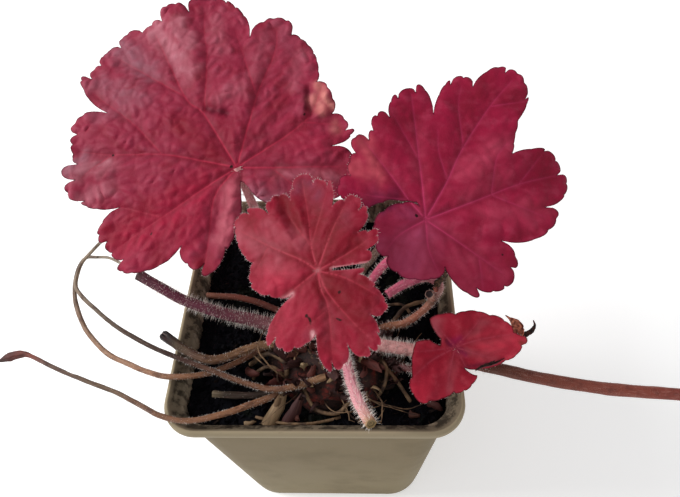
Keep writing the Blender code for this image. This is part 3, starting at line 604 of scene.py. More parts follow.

# centre to lifts: the blade's plane and its large waves, as in the model; veins: each main vein's course
# as (angle, reach); patches: (angle, reach, radius, strength) of each patch, or of a streak, with the
# angle and reach of both its ends, where the pale, grey and flap patches are painted sheen, the lit ones
# painted highlights and the shade ones painted shade; folds: the two ends of a ridge or furrow, its width
# and height; colours: the patches' and the marks' colours, the furrow one painted shade, the crest one
# painted sheen
leafLook = {
    "leaf_left": dict(
        edge=leftEdge, centre=(-22.3, 22.9, 140.0), facing=(-0.05, -0.342, 0.94), size=1.02, droop=5.0,
        waves=(5, 1.8, 20), reach=62, lifts=((43, 9, 14), (114, 9, 3), (179, 7, 5), (262, 14, 20)),
        grid=0.6, thick=0.35, quilt=1.0, ruffle=0.9, tooth=0.85, toothSpacing=4.2, seed=5,
        veinSpacing=5.4, hairs=(1.4, 0.7), pillow=4.4, net=0.1, cloudy=0.2,
        folds=[((117, 23.5), (103, 19.5), 1.5, -1.5), ((103, 19.5), (84, 17), 2.0, -0.9),
               ((106, 27), (86, 27), 2.6, 1.1), ((51, 34.5), (41, 29), 1.0, -1.3),
               ((48, 36), (35, 33.5), 1.8, 0.9), ((124, 40), (119, 60), 1.6, -0.9),
               ((112, 40), (114, 62), 4.0, 1.0), ((171, 42), (173, 52), 1.6, -0.7),
               ((180, 42), (179, 52), 3.0, 1.2), ((60, 10), (48, 28), 2.4, -0.9),
               ((90, 10), (82, 34), 2.6, 0.7), ((140, 30), (146, 42), 3.0, 0.8),
               ((133, 46), (137, 60), 2.4, -0.6), ((38, 28), (44, 36), 1.8, -1.2),
               ((250, 10), (255, 24), 2.0, -0.9)],
        veins=[[(0, 0), (122, 22.5), (126, 32.3), (122, 61)],
               [(122, 22.5), (107, 42.6), (106, 51.2), (104, 63)],
               [(0, 0), (78, 24.9), (76, 42.4), (78, 50)], [(78, 24.9), (92, 44), (94, 50)],
               [(0, 0), (35, 24.8), (46, 38.4)], [(0, 0), (357, 10.8), (358, 31.1)],
               [(0, 0), (166, 11.9), (167, 25.1), (171, 42.1), (171, 53)],
               [(166, 25.4), (154, 39.7), (150, 60)], [(171, 42.1), (183, 51)],
               [(0, 0), (213, 14.6), (214, 27.2), (214, 44)], [(214, 27.2), (194, 42)],
               [(0, 0), (235, 10.9), (250, 21.2), (256, 32)], [(126, 32.3), (136, 64)],
               [(357, 10.8), (335, 24)], [(35, 24.8), (22, 34)]],
        patches={
            "pale": [(118, 40, 121, 64, 3.6, 0.8), (113, 48, 114, 60, 3.0, 0.6),
                     (104, 26, 90, 27, 3.0, 0.3), (176, 43, 178, 53, 3.4, 0.9),
                     (101, 44, 101, 57, 2.8, 0.3), (83, 32, 82, 46, 3, 0.25), (350, 14, 352, 30, 2.6, 0.4),
                     (186, 42, 190, 50, 2.8, 0.5), (60, 32, 64, 44, 2.6, 0.25)],
            "grey": [(132, 50, 133, 66, 5.0, 0.9), (143, 44, 146, 60, 4.6, 0.7), (152, 46, 156, 52, 3, 0.5),
                     (173, 51, 178, 55, 2.2, 0.9), (70, 44, 78, 52, 3, 0.3), (305, 12, 322, 24, 4, 0.7)],
            "deep": [(165, 6, 140, 24, 4.6, 0.8), (204, 30, 208, 44, 4.4, 0.9), (151, 58, 3.6, 0.6),
                     (60, 12, 60, 28, 3, 0.6), (196, 10, 204, 28, 3.4, 0.5), (228, 24, 232, 38, 3.4, 0.7),
                     (256, 31, 3.4, 0.9), (110, 8, 112, 16, 3.4, 0.6), (30, 10, 30, 22, 3, 0.4)],
            "shade": [(117, 23.5, 104, 19.5, 1.3, 0.75), (50, 32.4, 42, 28.6, 1.1, 1),
                      (30, 32.6, 32, 29.6, 0.6, 0.5), (58, 11, 52, 14, 1.4, 0.5)],
            "flap": [(256, 6, 262, 24, 2.6, 0.9)],
            "bright": [(212, 14, 215, 40, 6.5, 0.9), (234, 20, 238, 28, 4, 0.7), (20, 20, 12, 32, 4, 0.4)],
            "lit": [(47.5, 36.2, 33, 34.2, 1.5, 1), (44, 32.6, 35, 31.6, 1.7, 0.95),
                    (24, 33, 20, 32, 1.6, 0.4)],
            "spot": [(171, 41.5, 0.6, 0.8), (219, 32.4, 0.6, 0.7), (165, 1.5, 0.55, 1), (39, 26.7, 0.5, 1)],
        },
        colours=dict(blade=(144, 40, 64), pale=(184, 118, 130), deep=(124, 14, 38), shade=(74, 16, 36),
                     bright=(160, 26, 56), grey=(144, 92, 106), flap=(186, 94, 108), lit=(218, 136, 128),
                     spot=(36, 22, 22), vein=(184, 48, 74), furrow=(100, 14, 36), rim=(76, 22, 38),
                     crest=(164, 78, 98), under=(174, 104, 108))),
    "leaf_right": dict(
        edge=rightEdge, centre=(33.3, 0.9, 140.0), facing=(0.12, -0.30, 0.95), size=1.01, droop=3.5,
        waves=(6, 1.5, 50), reach=50, lifts=((130, 12, 8), (240, 25, 20), (20, 12, -2)),
        grid=0.6, thick=0.35, quilt=0.55, ruffle=0.6, tooth=0.8, toothSpacing=4.4, seed=9,
        veinSpacing=5.4, hairs=(1.0, 0.5), pillow=5.5, net=0.08, cloudy=0.6,
        folds=[((75, 10), (76, 34), 4.0, 0.8), ((42, 12), (40, 30), 5.0, 1.0), ((8, 14), (8, 32), 4.5, 0.9),
               ((110, 14), (108, 32), 3.5, 0.7), ((306, 10), (312, 24), 4.0, 0.7),
               ((160, 8), (166, 18), 2.4, -1.0)],
        veins=[[(0, 0), (93, 5.9), (93, 18.3), (93, 41)],
               [(0, 0), (61, 13.3), (62, 26), (60, 43.4), (58, 56)], [(62, 26), (72, 39.2), (73, 47)],
               [(0, 0), (23, 16.9), (23, 30.3), (21, 43)], [(23, 20.8), (43, 30), (44, 40)],
               [(0, 0), (324, 17.5), (324, 25)], [(0, 0), (273, 8.5), (282, 17)],
               [(0, 0), (127, 7.5), (125, 16.6), (125, 29)], [(23, 30.3), (31, 42)],
               [(324, 17.5), (306, 25)], [(93, 18.3), (104, 35)], [(0, 0), (212, 8.7), (220, 15)],
               [(62, 14), (77, 21.5), (80, 29)], [(23, 20.8), (3, 34)],
               [(127, 7.5), (156, 16.8), (158, 23)], [(60, 43.4), (50, 52)]],
        patches={
            "pale": [(52, 18, 46, 34, 3.4, 0.75), (35, 12, 33, 28, 3.4, 0.4), (10, 18, 6, 32, 4, 0.5),
                     (330, 9, 4.6, 0.35), (318, 14, 322, 24, 4, 0.4), (300, 12, 300, 22, 3.4, 0.5),
                     (262, 8, 262, 16, 3.4, 0.6), (97, 14, 90, 28, 2.6, 0.4), (230, 12, 4, 0.4)],
            "deep": [(96, 32, 106, 32, 4.6, 0.8), (68, 40, 66, 52, 4.4, 0.8), (18, 38, 30, 42, 4.4, 0.8),
                     (80, 14, 77, 28, 2.6, 0.5), (56, 48, 52, 54, 3, 0.6), (332, 26, 4, 0.5),
                     (8, 34, 5, 42, 3.4, 0.6)],
            "lit": [(126, 29, 136, 18, 2.6, 0.9), (142, 26, 140, 20, 2.2, 0.6)],
            "violet": [(235, 5, 245, 15, 6.5, 0.9), (215, 8, 212, 15, 3.5, 0.7)],
            "shade": [(161, 14, 4, 0.9), (146, 10, 2.8, 0.9), (156, 5, 2.8, 0.7), (168, 18, 3, 0.6)],
            "spot": [(335, 22.7, 0.5, 0.7), (155, 2.6, 0.6, 0.9)],
        },
        colours=dict(blade=(147, 28, 58), pale=(182, 68, 92), deep=(116, 14, 40), shade=(98, 32, 64),
                     violet=(176, 72, 106), lit=(196, 84, 96), spot=(44, 18, 26), vein=(194, 62, 104),
                     furrow=(112, 16, 44), rim=(78, 18, 40), crest=(166, 56, 82), under=(150, 70, 96))),
    "leaf_front": dict(
        edge=frontEdge, centre=(5.3, -22.4, 150.0), facing=(-0.30, -0.30, 0.90), size=1.01, droop=2.0,
        waves=(6, 0.9, 10), reach=27, lifts=((100, 14, -1), (150, 15, -2), (285, 12, -1.5)),
        grid=0.45, thick=0.3, quilt=0.6, ruffle=0.5, tooth=0.7, toothSpacing=2.6, seed=14,
        veinSpacing=3.8, hairs=(3.2, 0.75), pillow=3.4, net=0.08, cloudy=0.35,
        folds=[((121, 11), (117, 23), 1.5, -1.0), ((129, 10), (126, 21), 1.8, 0.8),
               ((110, 10), (109, 20), 1.6, 0.7), ((95, 12), (94, 22), 1.6, -0.6),
               ((160, 8), (162, 22), 3.0, 0.8), ((190, 5), (196, 13), 3.0, 0.8),
               ((45, 6), (46, 15), 2.6, 0.6), ((320, 6), (318, 18), 2.8, 0.7),
               ((270, 6), (268, 15), 2.0, 0.6), ((295, 8), (296, 20), 2.0, -0.5)],
        veins=[[(0, 0), (144, 5.3), (150, 15.6), (150, 27)], [(0, 0), (105, 6.7), (101, 13.8), (101, 25)],
               [(0, 0), (69, 10.3), (66, 18)], [(0, 0), (214, 7.8), (216, 10.9), (229, 16.5)],
               [(0, 0), (283, 4.9), (287, 10.1), (281, 22)], [(0, 0), (297, 6.9), (305, 16.4), (308, 22)],
               [(0, 0), (24, 7.8), (26, 15)], [(0, 0), (341, 7.5), (334, 17)], [(105, 6.7), (120, 21)],
               [(287, 10.1), (254, 15)], [(150, 15.6), (176, 17)], [(105, 6.7), (84, 20)]],
        patches={
            "pale": [(152, 12, 152, 26, 2.6, 0.8), (116, 8, 118, 14, 1.6, 0.6),
                     (135, 12, 136, 20, 1.8, 0.5), (172, 8, 168, 15, 2.2, 0.4), (283, 9, 283, 15, 1.6, 0.3),
                     (128, 8, 126, 13, 1.4, 0.5)],
            "deep": [(113, 14, 116, 24, 2.0, 0.9), (56, 3, 62, 14, 3, 0.6), (313, 4, 313, 16, 3.4, 0.7),
                     (30, 4, 30, 13, 2.6, 0.5), (95, 8, 92, 16, 1.6, 0.6), (270, 16, 268, 22, 1.6, 0.6)],
            "bright": [(195, 10, 6, 0.9), (250, 13, 5, 0.6), (240, 17, 3, 0.5), (283, 20, 3, 0.6)],
            "shade": [(101, 24, 3.6, 0.9), (89, 20, 3.4, 0.9), (62, 15, 3, 0.4), (262, 15, 1.6, 0.5)],
            "lit": [(267, 14.6, 268, 17.5, 0.5, 0.9), (3, 3.2, 3, 12.5, 0.22, 0.9), (0, 0, 0.6, 0.9),
                    (219, 8.3, 214, 11, 0.7, 0.9)],
            "spot": [(315, 8.0, 0.5, 0.8), (257, 11, 0.55, 0.8), (236, 16.3, 0.4, 0.5),
                     (278, 17.2, 0.4, 0.7), (264, 12.6, 261, 11.4, 0.4, 0.7), (292, 13, 296, 14, 0.35, 0.8)],
        },
        colours=dict(blade=(136, 26, 46), pale=(176, 92, 104), deep=(104, 10, 28), bright=(174, 50, 70),
                     shade=(112, 46, 66), lit=(238, 184, 188), spot=(54, 14, 24), vein=(180, 62, 78),
                     furrow=(92, 8, 24), rim=(150, 66, 78), crest=(164, 68, 84), under=(150, 60, 72))),
    "leaf_folded": dict(
        edge=foldedEdge, centre=(41.5, -25.3, 115.0), facing=(0.1, -0.45, 0.9), size=1.0, droop=0.3,
        waves=(3, 0.3, 0), reach=20, lifts=((12, 10, 1),), valley=(140, 0.36),
        grid=0.42, thick=0.3, quilt=0.35, ruffle=0.2, tooth=0.3, toothSpacing=3.4, seed=31,
        veinSpacing=4.0, hairs=(1.2, 0.5), pillow=4.0, net=0.06, cloudy=0.7,
        folds=[((132, 3), (132, 10), 1.6, -0.5), ((32, 5), (30, 13), 2.2, 0.7),
               ((350, 4), (352, 12), 2.0, -0.5), ((230, 4), (228, 14), 2.6, 0.7)],
        veins=[[(0, 0), (50, 6.5), (53, 11.5)], [(0, 0), (21, 7.4), (15, 19.5)],
               [(0, 0), (343, 7), (344, 13)], [(0, 0), (248, 5.1), (253, 12.5)],
               [(0, 0), (204, 8.2), (210, 15.5)], [(0, 0), (130, 4.7), (128, 9.5)],
               [(0, 0), (185, 6.8), (183, 12)], [(0, 0), (296, 8.5)]],
        patches={
            "pale": [(125, 9, 150, 6, 1.5, 0.8), (42, 5, 44, 11, 1.2, 0.5), (340, 3, 345, 11, 1.2, 0.6),
                     (250, 4, 256, 11, 1.2, 0.5), (15, 5, 12, 15, 1.0, 0.4), (355, 10, 2.2, 0.4)],
            "deep": [(236, 8, 240, 15, 2.4, 0.6), (200, 8, 208, 15, 2.4, 0.5), (66, 5, 70, 9, 1.8, 0.4),
                     (28, 8, 26, 13, 1.6, 0.4)],
            "shade": [(140, 2.6, 320, 1.2, 0.9, 1.0), (292, 6, 335, 9.6, 0.6, 0.7)],
            "bright": [(8, 8, 10, 16, 3.2, 0.9), (20, 12, 5, 17, 2.2, 0.6), (345, 8, 350, 14, 2.4, 0.6),
                       (236, 4, 250, 8, 2.0, 0.4), (45, 3, 30, 7, 1.4, 0.5)],
            "violet": [(100, 1.6, 60, 2.4, 1.2, 0.9), (310, 1.6, 320, 3.4, 1.0, 0.7)],
            "dry": [(10, 20.4, 17, 22.5, 1.3, 1.0), (8, 18, 4, 20, 0.8, 0.6)],
        },
        colours=dict(blade=(178, 40, 60), pale=(200, 116, 126), deep=(130, 24, 42), shade=(66, 20, 50),
                     bright=(214, 62, 82), violet=(150, 34, 92), dry=(96, 52, 34), vein=(190, 72, 92),
                     furrow=(118, 18, 38), rim=(66, 20, 28), crest=(206, 76, 92), under=(146, 60, 70))),
}


def leafAxes(facing):
    up = np.array(facing, float)
    up /= np.linalg.norm(up)
    across = np.array((1.0, 0, 0))
    across -= up * (across @ up)
    across /= np.linalg.norm(across)
    return across, np.cross(up, across)


def polar(angle, reach):
    return reach * math.cos(math.radians(angle)), reach * math.sin(math.radians(angle))


def leafOutline(leaf, spacing):      # every scallop is a rounded arc with a few small teeth
    outline = []
    draw = random.Random(leaf["seed"])
    edge = leaf["edge"]
    for index, (angle, notch, bulge) in enumerate(edge):
        nextAngle, nextNotch, _ = edge[(index + 1) % len(edge)]
        turn = (nextAngle - angle + 180) % 360 - 180
        span = math.hypot(math.radians(turn) * bulge, nextNotch - notch)
        steps = max(3, round(span / spacing))
        teeth = max(1, round(span / leaf["toothSpacing"]))
        sizes = [draw.uniform(0.5, 1.15) for _ in range(teeth + 1)]
        for step in range(steps):
            t = step / steps
            arch = (1 - abs(2 * t - 1) ** 2.3) ** (1 / 2.3)
            phase = t * teeth
            peak = abs(math.sin(phase * math.pi)) ** 0.5 * sizes[int(phase)]
            reach = notch + (nextNotch - notch) * t + (bulge - (notch + nextNotch) / 2) * arch
            reach = reach * leaf["size"] + leaf["tooth"] * (peak - 0.55) * arch
            outline.append(polar(angle + turn * t, reach))
    return np.array(outline)


def bladeHeight(leaf, x, y):         # the model's own waves, lifts and fold
    radius = np.hypot(x, y)
    angle = np.degrees(np.arctan2(y, x))
    share = radius / leaf["reach"]
    count, high, turn = leaf["waves"]
    height = -leaf["droop"] * share ** 2 + high * share ** 2 * np.cos(np.radians(count * (angle - turn)))
    for place, width, lift in leaf["lifts"]:
        away = (angle - place + 180) % 360 - 180
        height += lift * share ** 3 * np.exp(-(away / width) ** 2)
    if "valley" in leaf:
        direction, slope = leaf["valley"]
        off = y * math.cos(math.radians(direction)) - x * math.sin(math.radians(direction))
        height += slope * (np.sqrt(off ** 2 + 4) - 2)
    return height


def insideOutline(points, outline):
    x1, y1 = outline[:, 0], outline[:, 1]
    x2, y2 = np.roll(x1, 1), np.roll(y1, 1)
    rise = np.where(y2 == y1, 1e-9, y2 - y1)
    result = []
    for first in range(0, len(points), 2000):
        px = points[first:first + 2000, 0:1]
        py = points[first:first + 2000, 1:2]
        crossing = ((y1 > py) != (y2 > py)) & (px < (x2 - x1) * (py - y1) / rise + x1)
        result.append(crossing.sum(1) % 2 == 1)
    return np.concatenate(result)


def tree(points):                    # a search tree over flat points
    found = kdtree.KDTree(len(points))
    for index, point in enumerate(points):
        found.insert((point[0], point[1], 0), index)
    found.balance()
    return found


def mainVeins(leaf, spacing):
    lines = []
    for course in leaf["veins"]:
        line = evenly(smoothRoute([polar(*point) for point in course], 12), spacing)
        lines.append(line[insideOutline(line, leaf["outline"])])
    return lines


def sideVeins(leaf, lines):          # thinner veins leave each main one at both sides and bend to its tip
    draw = random.Random(leaf["seed"])
    step = 0.6
    grown = []
    for number, line in enumerate(lines):
        others = np.concatenate([other for place, other in enumerate(lines) if place != number])
        near = tree(others)
        gap = int(leaf["veinSpacing"] / step)
        for start in range(gap + draw.randrange(3), len(line) - 4, gap):
            for hand in (-1, 1):
                first = max(0, min(len(line) - 2, start + draw.randrange(-1, 2) + hand))
                way = line[first + 1] - line[first]
                heading = math.atan2(way[1], way[0]) + hand * math.radians(draw.uniform(44, 60))
                point = line[first]
                path = [point]
                for index in range(int(0.3 * leaf["reach"] / step)):
                    heading += math.radians(draw.uniform(-5, 5) - hand * 1.6)
                    point = point + step * np.array((math.cos(heading), math.sin(heading)))
                    if near.find((*point, 0))[2] < 1.1 and index > 2:
                        break
                    path.append(point)
                path = np.array(path)
                kept = insideOutline(path, leaf["outline"])
                path = path[:int(np.argmin(kept)) if not kept.all() else len(path)]
                if len(path) > 4:
                    grown.append(path)
    return grown


class Crowd:                         # keeps new points a set distance from those already there
    def __init__(self, cell):
        self.cell = cell
        self.cells = {}
        self.points = []

    def add(self, point, apart):
        column, row = int(point[0] // self.cell), int(point[1] // self.cell)
        for near in range(column - 1, column + 2):
            for beside in range(row - 1, row + 2):
                for other in self.cells.get((near, beside), ()):
                    if (other[0] - point[0]) ** 2 + (other[1] - point[1]) ** 2 < apart ** 2:
                        return
        self.cells.setdefault((column, row), []).append(point)
        self.points.append(point)


# a bank lies aside of a vein by its first number, and keeps its points apart by the second
pointLook = {"banks": [(0, 0.25), (0.3, 0.22), (-0.3, 0.22), (0.75, 0.3), (-0.75, 0.3)], "sideApart": 0.35,
             "cell": 0.7, "farthest": 72, "gridApart": 0.62}


def bladePoints(leaf, lines, sides):         # the outline, the veins with their banks, then an even grid
    look = pointLook
    crowd = Crowd(look["cell"])
    for point in leaf["outline"]:
        crowd.add(tuple(point), 0)
    for line in lines:
        way = np.gradient(line, axis=0)
        across = np.stack((-way[:, 1], way[:, 0]), 1) / np.linalg.norm(way, axis=1)[:, None]
        for off, apart in look["banks"]:
            bank = line + across * off
            for point, kept in zip(bank, insideOutline(bank, leaf["outline"])):
                if kept:
                    crowd.add(tuple(point), apart)
    for line in sides:
        for point in line:
            crowd.add(tuple(point), look["sideApart"])
    grid = leaf["grid"]
    count = int(look["farthest"] / grid)
    rows = [((column + 0.5 * (row % 2)) * grid, row * grid * 0.866)
            for row in range(-count, count + 1) for column in range(-count, count + 1)]
    rows = np.array(rows)
    rows = rows[np.hypot(rows[:, 0], rows[:, 1]) < look["farthest"]]
    for point in rows[insideOutline(rows, leaf["outline"])]:
        crowd.add(tuple(point), grid * look["gridApart"])
    return crowd.points


# how wide each form on a blade is: the trough, groove, furrow, rib and line along a main vein and a side
# vein, the slope at a pillow's foot, the margin's ruffles and lip, and the patches of slower change; the
# furrow's darker colour is painted shade, and the crest patches are painted sheen on the pillows
reliefLook = {
    "trough": 2.6, "groove": 0.45, "furrow": 1.3, "rib": 0.5, "line": 0.27, "sideTrough": 1.3,
    "sideFurrowShade": 0.7, "sideRib": 0.4, "pillowFoot": 2.2, "pillowWall": 0.62, "pillowBend": 5.0,
    "margin": 4.0, "ruffle": 5.5, "lip": 0.8, "patch": 7.0, "crestSheenPatch": 6.0, "broad": 13.0,
    "fromStalk": (1.0, 0.4), "fromVein": (0.65, 0.3),       # a main vein's strength at its start and end
}


def bell(distance, width):           # 1 in the middle, and next to nothing at twice the width
    return np.exp(-(distance / width) ** 2)


def nearness(points, lines, spread):         # each point's distance to the nearest line, and its strength
    course = np.concatenate(lines)
    strength = np.concatenate(spread)
    search = tree(course)
    found = [search.find((x, y, 0)) for x, y in points]
    return np.array([hit[2] for hit in found]), strength[[hit[1] for hit in found]]


def segmentDistance(x, y, start, end):
    way = np.array(end) - np.array(start)
    share = np.clip(((x - start[0]) * way[0] + (y - start[1]) * way[1]) / (way @ way), 0, 1)
    return np.hypot(x - start[0] - share * way[0], y - start[1] - share * way[1])


def bladeRelief(leaf, flat, lines, sides, rim):
    look = reliefLook
    x, y = flat[:, 0], flat[:, 1]
    thinning = []
    for line in lines:
        first, last = look["fromStalk"] if np.hypot(*line[0]) < 2 else look["fromVein"]
        thinning.append(np.linspace(first, last, len(line)))
    away, strong = nearness(flat, lines, thinning)
    awaySide, strongSide = nearness(flat, sides, [np.linspace(1, 0.5, len(line)) for line in sides])
    quilt = leaf["quilt"]
    deep = 0.4 + 0.6 * strong
    relief = -deep * (0.3 + 0.65 * quilt) * bell(away, look["trough"])
    relief = relief - 0.2 * strong * bell(away, look["groove"])
    relief -= strongSide * 0.14 * quilt * bell(awaySide, look["sideTrough"])
    dome = 1 - bell(np.minimum(away, awaySide + 0.6), look["pillowFoot"])
    level = np.stack((x, y, np.full(len(x), float(leaf["seed"]))), 1)
    bendX, bendY = [waviness(level, look["pillowBend"], shift) * 1.2 for shift in (1.0, 6.0)]
    cells = []
    for px, py in zip(x + bendX, y + bendY):
        walls = noise.voronoi(Vector((px, py, leaf["seed"])) / leaf["pillow"])[0]
        gap = min(walls[1] - walls[0], look["pillowWall"]) / look["pillowWall"]
        cells.append(math.sin(gap * math.pi / 2))
    cells = np.array(cells)
    pillow = dome * (0.35 + 0.45 * waviness(level, look["patch"])) + (cells - 0.4) * (0.35 + 0.65 * dome)
    relief += quilt * pillow
    for start, end, width, high in leaf["folds"]:
        relief += high * bell(segmentDistance(x, y, polar(*start), polar(*end)), width)
    broad = waviness(level, look["broad"], 4.0)
    relief += (0.5 + 0.5 * quilt) * 0.9 * broad * np.clip(np.hypot(x, y) / 15, 0, 1)
    wave = waviness(level, look["ruffle"], 8.0)
    relief += leaf["ruffle"] * np.exp(-rim / look["margin"]) * (1.6 * wave - 0.35)
    relief -= 0.3 * bell(rim, look["lip"])
    vein = strong ** 1.6 * bell(away, look["line"])
    # the furrow mark is painted shade along the veins, and the crest mark below is painted sheen on the
    # pillows' tops
    furrow = strong * bell(away, look["furrow"]) + 0.45 * strongSide * bell(awaySide, look["sideFurrowShade"])
    rib = strong * bell(away, look["rib"]) + 0.3 * strongSide * bell(awaySide, look["sideRib"])
    crest = (0.3 + 0.7 * dome) * (0.3 + 0.5 * waviness(level, look["crestSheenPatch"]) + 0.95 * (cells - 0.3))
    return relief, {"vein": vein, "furrow": np.clip(furrow, 0, 1), "crest": np.clip(crest, 0, 1)}, rib


def patchMarks(leaf, flat):
    x, y = flat[:, 0], flat[:, 1]
    level = np.stack((x, y, np.full(len(x), 40.0)), 1)
    bendX = waviness(level, 4.0, 2.0)
    bendY = waviness(level, 4.0, 11.0)
    fray = waviness(level, 2.2, 5.0)
    marks = {}
    # each layer of patches, the painted sheen, highlights and shade among them
    for label, stainsAndLights in leaf["patches"].items():
        total = np.zeros(len(x))
        for *places, radius, strength in stainsAndLights:
            wander = min(radius * 0.8, 2.6)
            start, end = polar(*places[:2]), np.add(polar(*places[-2:]), 1e-3)
            far = segmentDistance(x + wander * bendX, y + wander * bendY, start, end) / radius
            total = np.maximum(total, strength * np.clip(np.exp(-far ** 2) * (1 + 0.35 * fray), 0, 1))
        marks[label] = total
    return marks


def makeLeaf(name, leaf, hairs, coating):
    leaf["outline"] = leafOutline(leaf, 0.5)
    lines = [line for line in mainVeins(leaf, 0.6) if len(line) > 3]
    sides = sideVeins(leaf, lines)
    spots = [Vector(point) for point in bladePoints(leaf, lines, sides)]
    ring = list(range(len(leaf["outline"])))
    flat, _, triangles, _, _, _ = delaunay_2d_cdt(spots, [], [ring], 1, 1e-5)
    flat = np.array([tuple(point) for point in flat])
    count = len(flat)
    edgeTree = tree(leaf["outline"])
    rim = np.array([edgeTree.find((px, py, 0))[2] for px, py in flat])
    relief, marks, rib = bladeRelief(leaf, flat, lines, sides, rim)
    marks.update(patchMarks(leaf, flat))
    marks["rim"] = np.exp(-rim / 0.35)
    height = bladeHeight(leaf, flat[:, 0], flat[:, 1]) + relief
    across, along = leafAxes(leaf["facing"])
    base = np.array(leaf["centre"]) + flat[:, 0:1] * across + flat[:, 1:2] * along
    top = base + height[:, None] * reliefWay
    bottom = top - (leaf["thick"] + 0.45 * rib)[:, None] * reliefWay
    faces = [tuple(triangle) for triangle in triangles]
    used = {(triangle[side], triangle[(side + 1) % 3]) for triangle in faces for side in range(3)}
    walls = [pair for pair in used if pair[::-1] not in used]
    walls.sort()
    faces += [tuple(corner + count for corner in triangle[::-1]) for triangle in faces]
    fuzz = [0.0] * len(faces) + [1.0] * len(walls)
    faces += [(end, start, start + count, end + count) for start, end in walls]
    double = {label: np.concatenate((values, values)) for label, values in marks.items()}
    double["under"] = np.concatenate((np.zeros(count), np.ones(count)))
    skin = np.stack((flat[:, 0], flat[:, 1], np.zeros(count)), 1)
    double["skin"] = np.concatenate((skin, skin + (0, 0, 5)))
    piece = addMesh(name + "_blade", np.concatenate((top, bottom)), faces, double, {"fuzz": fuzz})
    density, length = leaf["hairs"]
    margin = grow(hairs, piece, name + "_hairs",
                  {**coating, "Density": density * 2.4, "Length": length, "Seed": leaf["seed"]})
    settle(piece, [name], leafFinish(name.replace("_", " "), leaf), 60)
    settle(margin)
    print(name, len(piece.data.polygons), "faces,", len(sides), "side veins")


paperHalf = 0.09         # half the thickness of a dry sheet
# route of the middle, half widths along it, the way its hollow side looks, the curl and the colours
scrapLook = {
    "leaf_folded_hook": dict(
        slot="leaf_folded", half=[1.6, 1.5, 1.3, 1.0, 0.6, 0.15], hollow=(0.1, 0.3, 0.9), curl=1.3,
        light=(84, 40, 32), dark=(20, 14, 14),
        route=[(55.6, -24.0, 115.0), (58.7, -22.9, 115.4), (61.0, -22.0, 115.7), (62.9, -20.9, 116.2),
               (63.7, -19.5, 117.0), (63.4, -18.3, 117.9)]),
    "leaf_folded_curl": dict(
        slot="leaf_folded", half=[1.7, 2.3, 2.4, 1.5, 0.5, 0.12], hollow=(-0.3, -0.6, 0.7), curl=1.2,
        light=(226, 142, 112), dark=(104, 46, 36),
        route=[(57.6, -22.4, 115.6), (58.6, -20.9, 116.8), (58.4, -19.7, 118.3), (57.4, -18.9, 119.0),
               (56.4, -18.3, 119.4), (55.4, -17.7, 119.9)]),
    "leaf_folded_lip": dict(
        slot="leaf_folded", half=[0.2, 0.6, 0.8, 0.75, 0.5, 0.15], hollow=(0.2, 0.5, 0.8), curl=1.5,
        light=(70, 34, 30), dark=(20, 12, 14),
        route=[(46.6, -31.0, 112.4), (48.6, -30.0, 112.6), (51.6, -29.2, 112.7), (53.9, -28.0, 113.0),
               (55.4, -26.8, 113.4), (57.2, -25.2, 113.8)]),
    "withered_scrap": dict(
        slot="brown_stalk", half=[0.8, 1.5, 1.4, 1.2, 0.9, 0.4], hollow=(-0.5, -0.4, 0.7), curl=1.6,
        light=(104, 80, 58), dark=(24, 18, 16),
        route=[(38.2, -1.2, 108.6), (38.8, -1.3, 111.0), (39.8, -0.9, 113.2), (41.2, -0.2, 115.3),
               (42.4, 1.0, 117.0), (43.4, 2.4, 118.6)]),
    "withered_shred": dict(
        slot="brown_stalk", half=[0.6, 1.0, 0.7, 0.1], hollow=(0.3, -0.6, 0.7), curl=1.0,
        light=(166, 74, 44), dark=(90, 28, 22),
        route=[(38.6, -1.6, 108.8), (38.0, -2.8, 110.2), (37.4, -3.4, 111.4), (37.0, -3.4, 112.6)]),
}


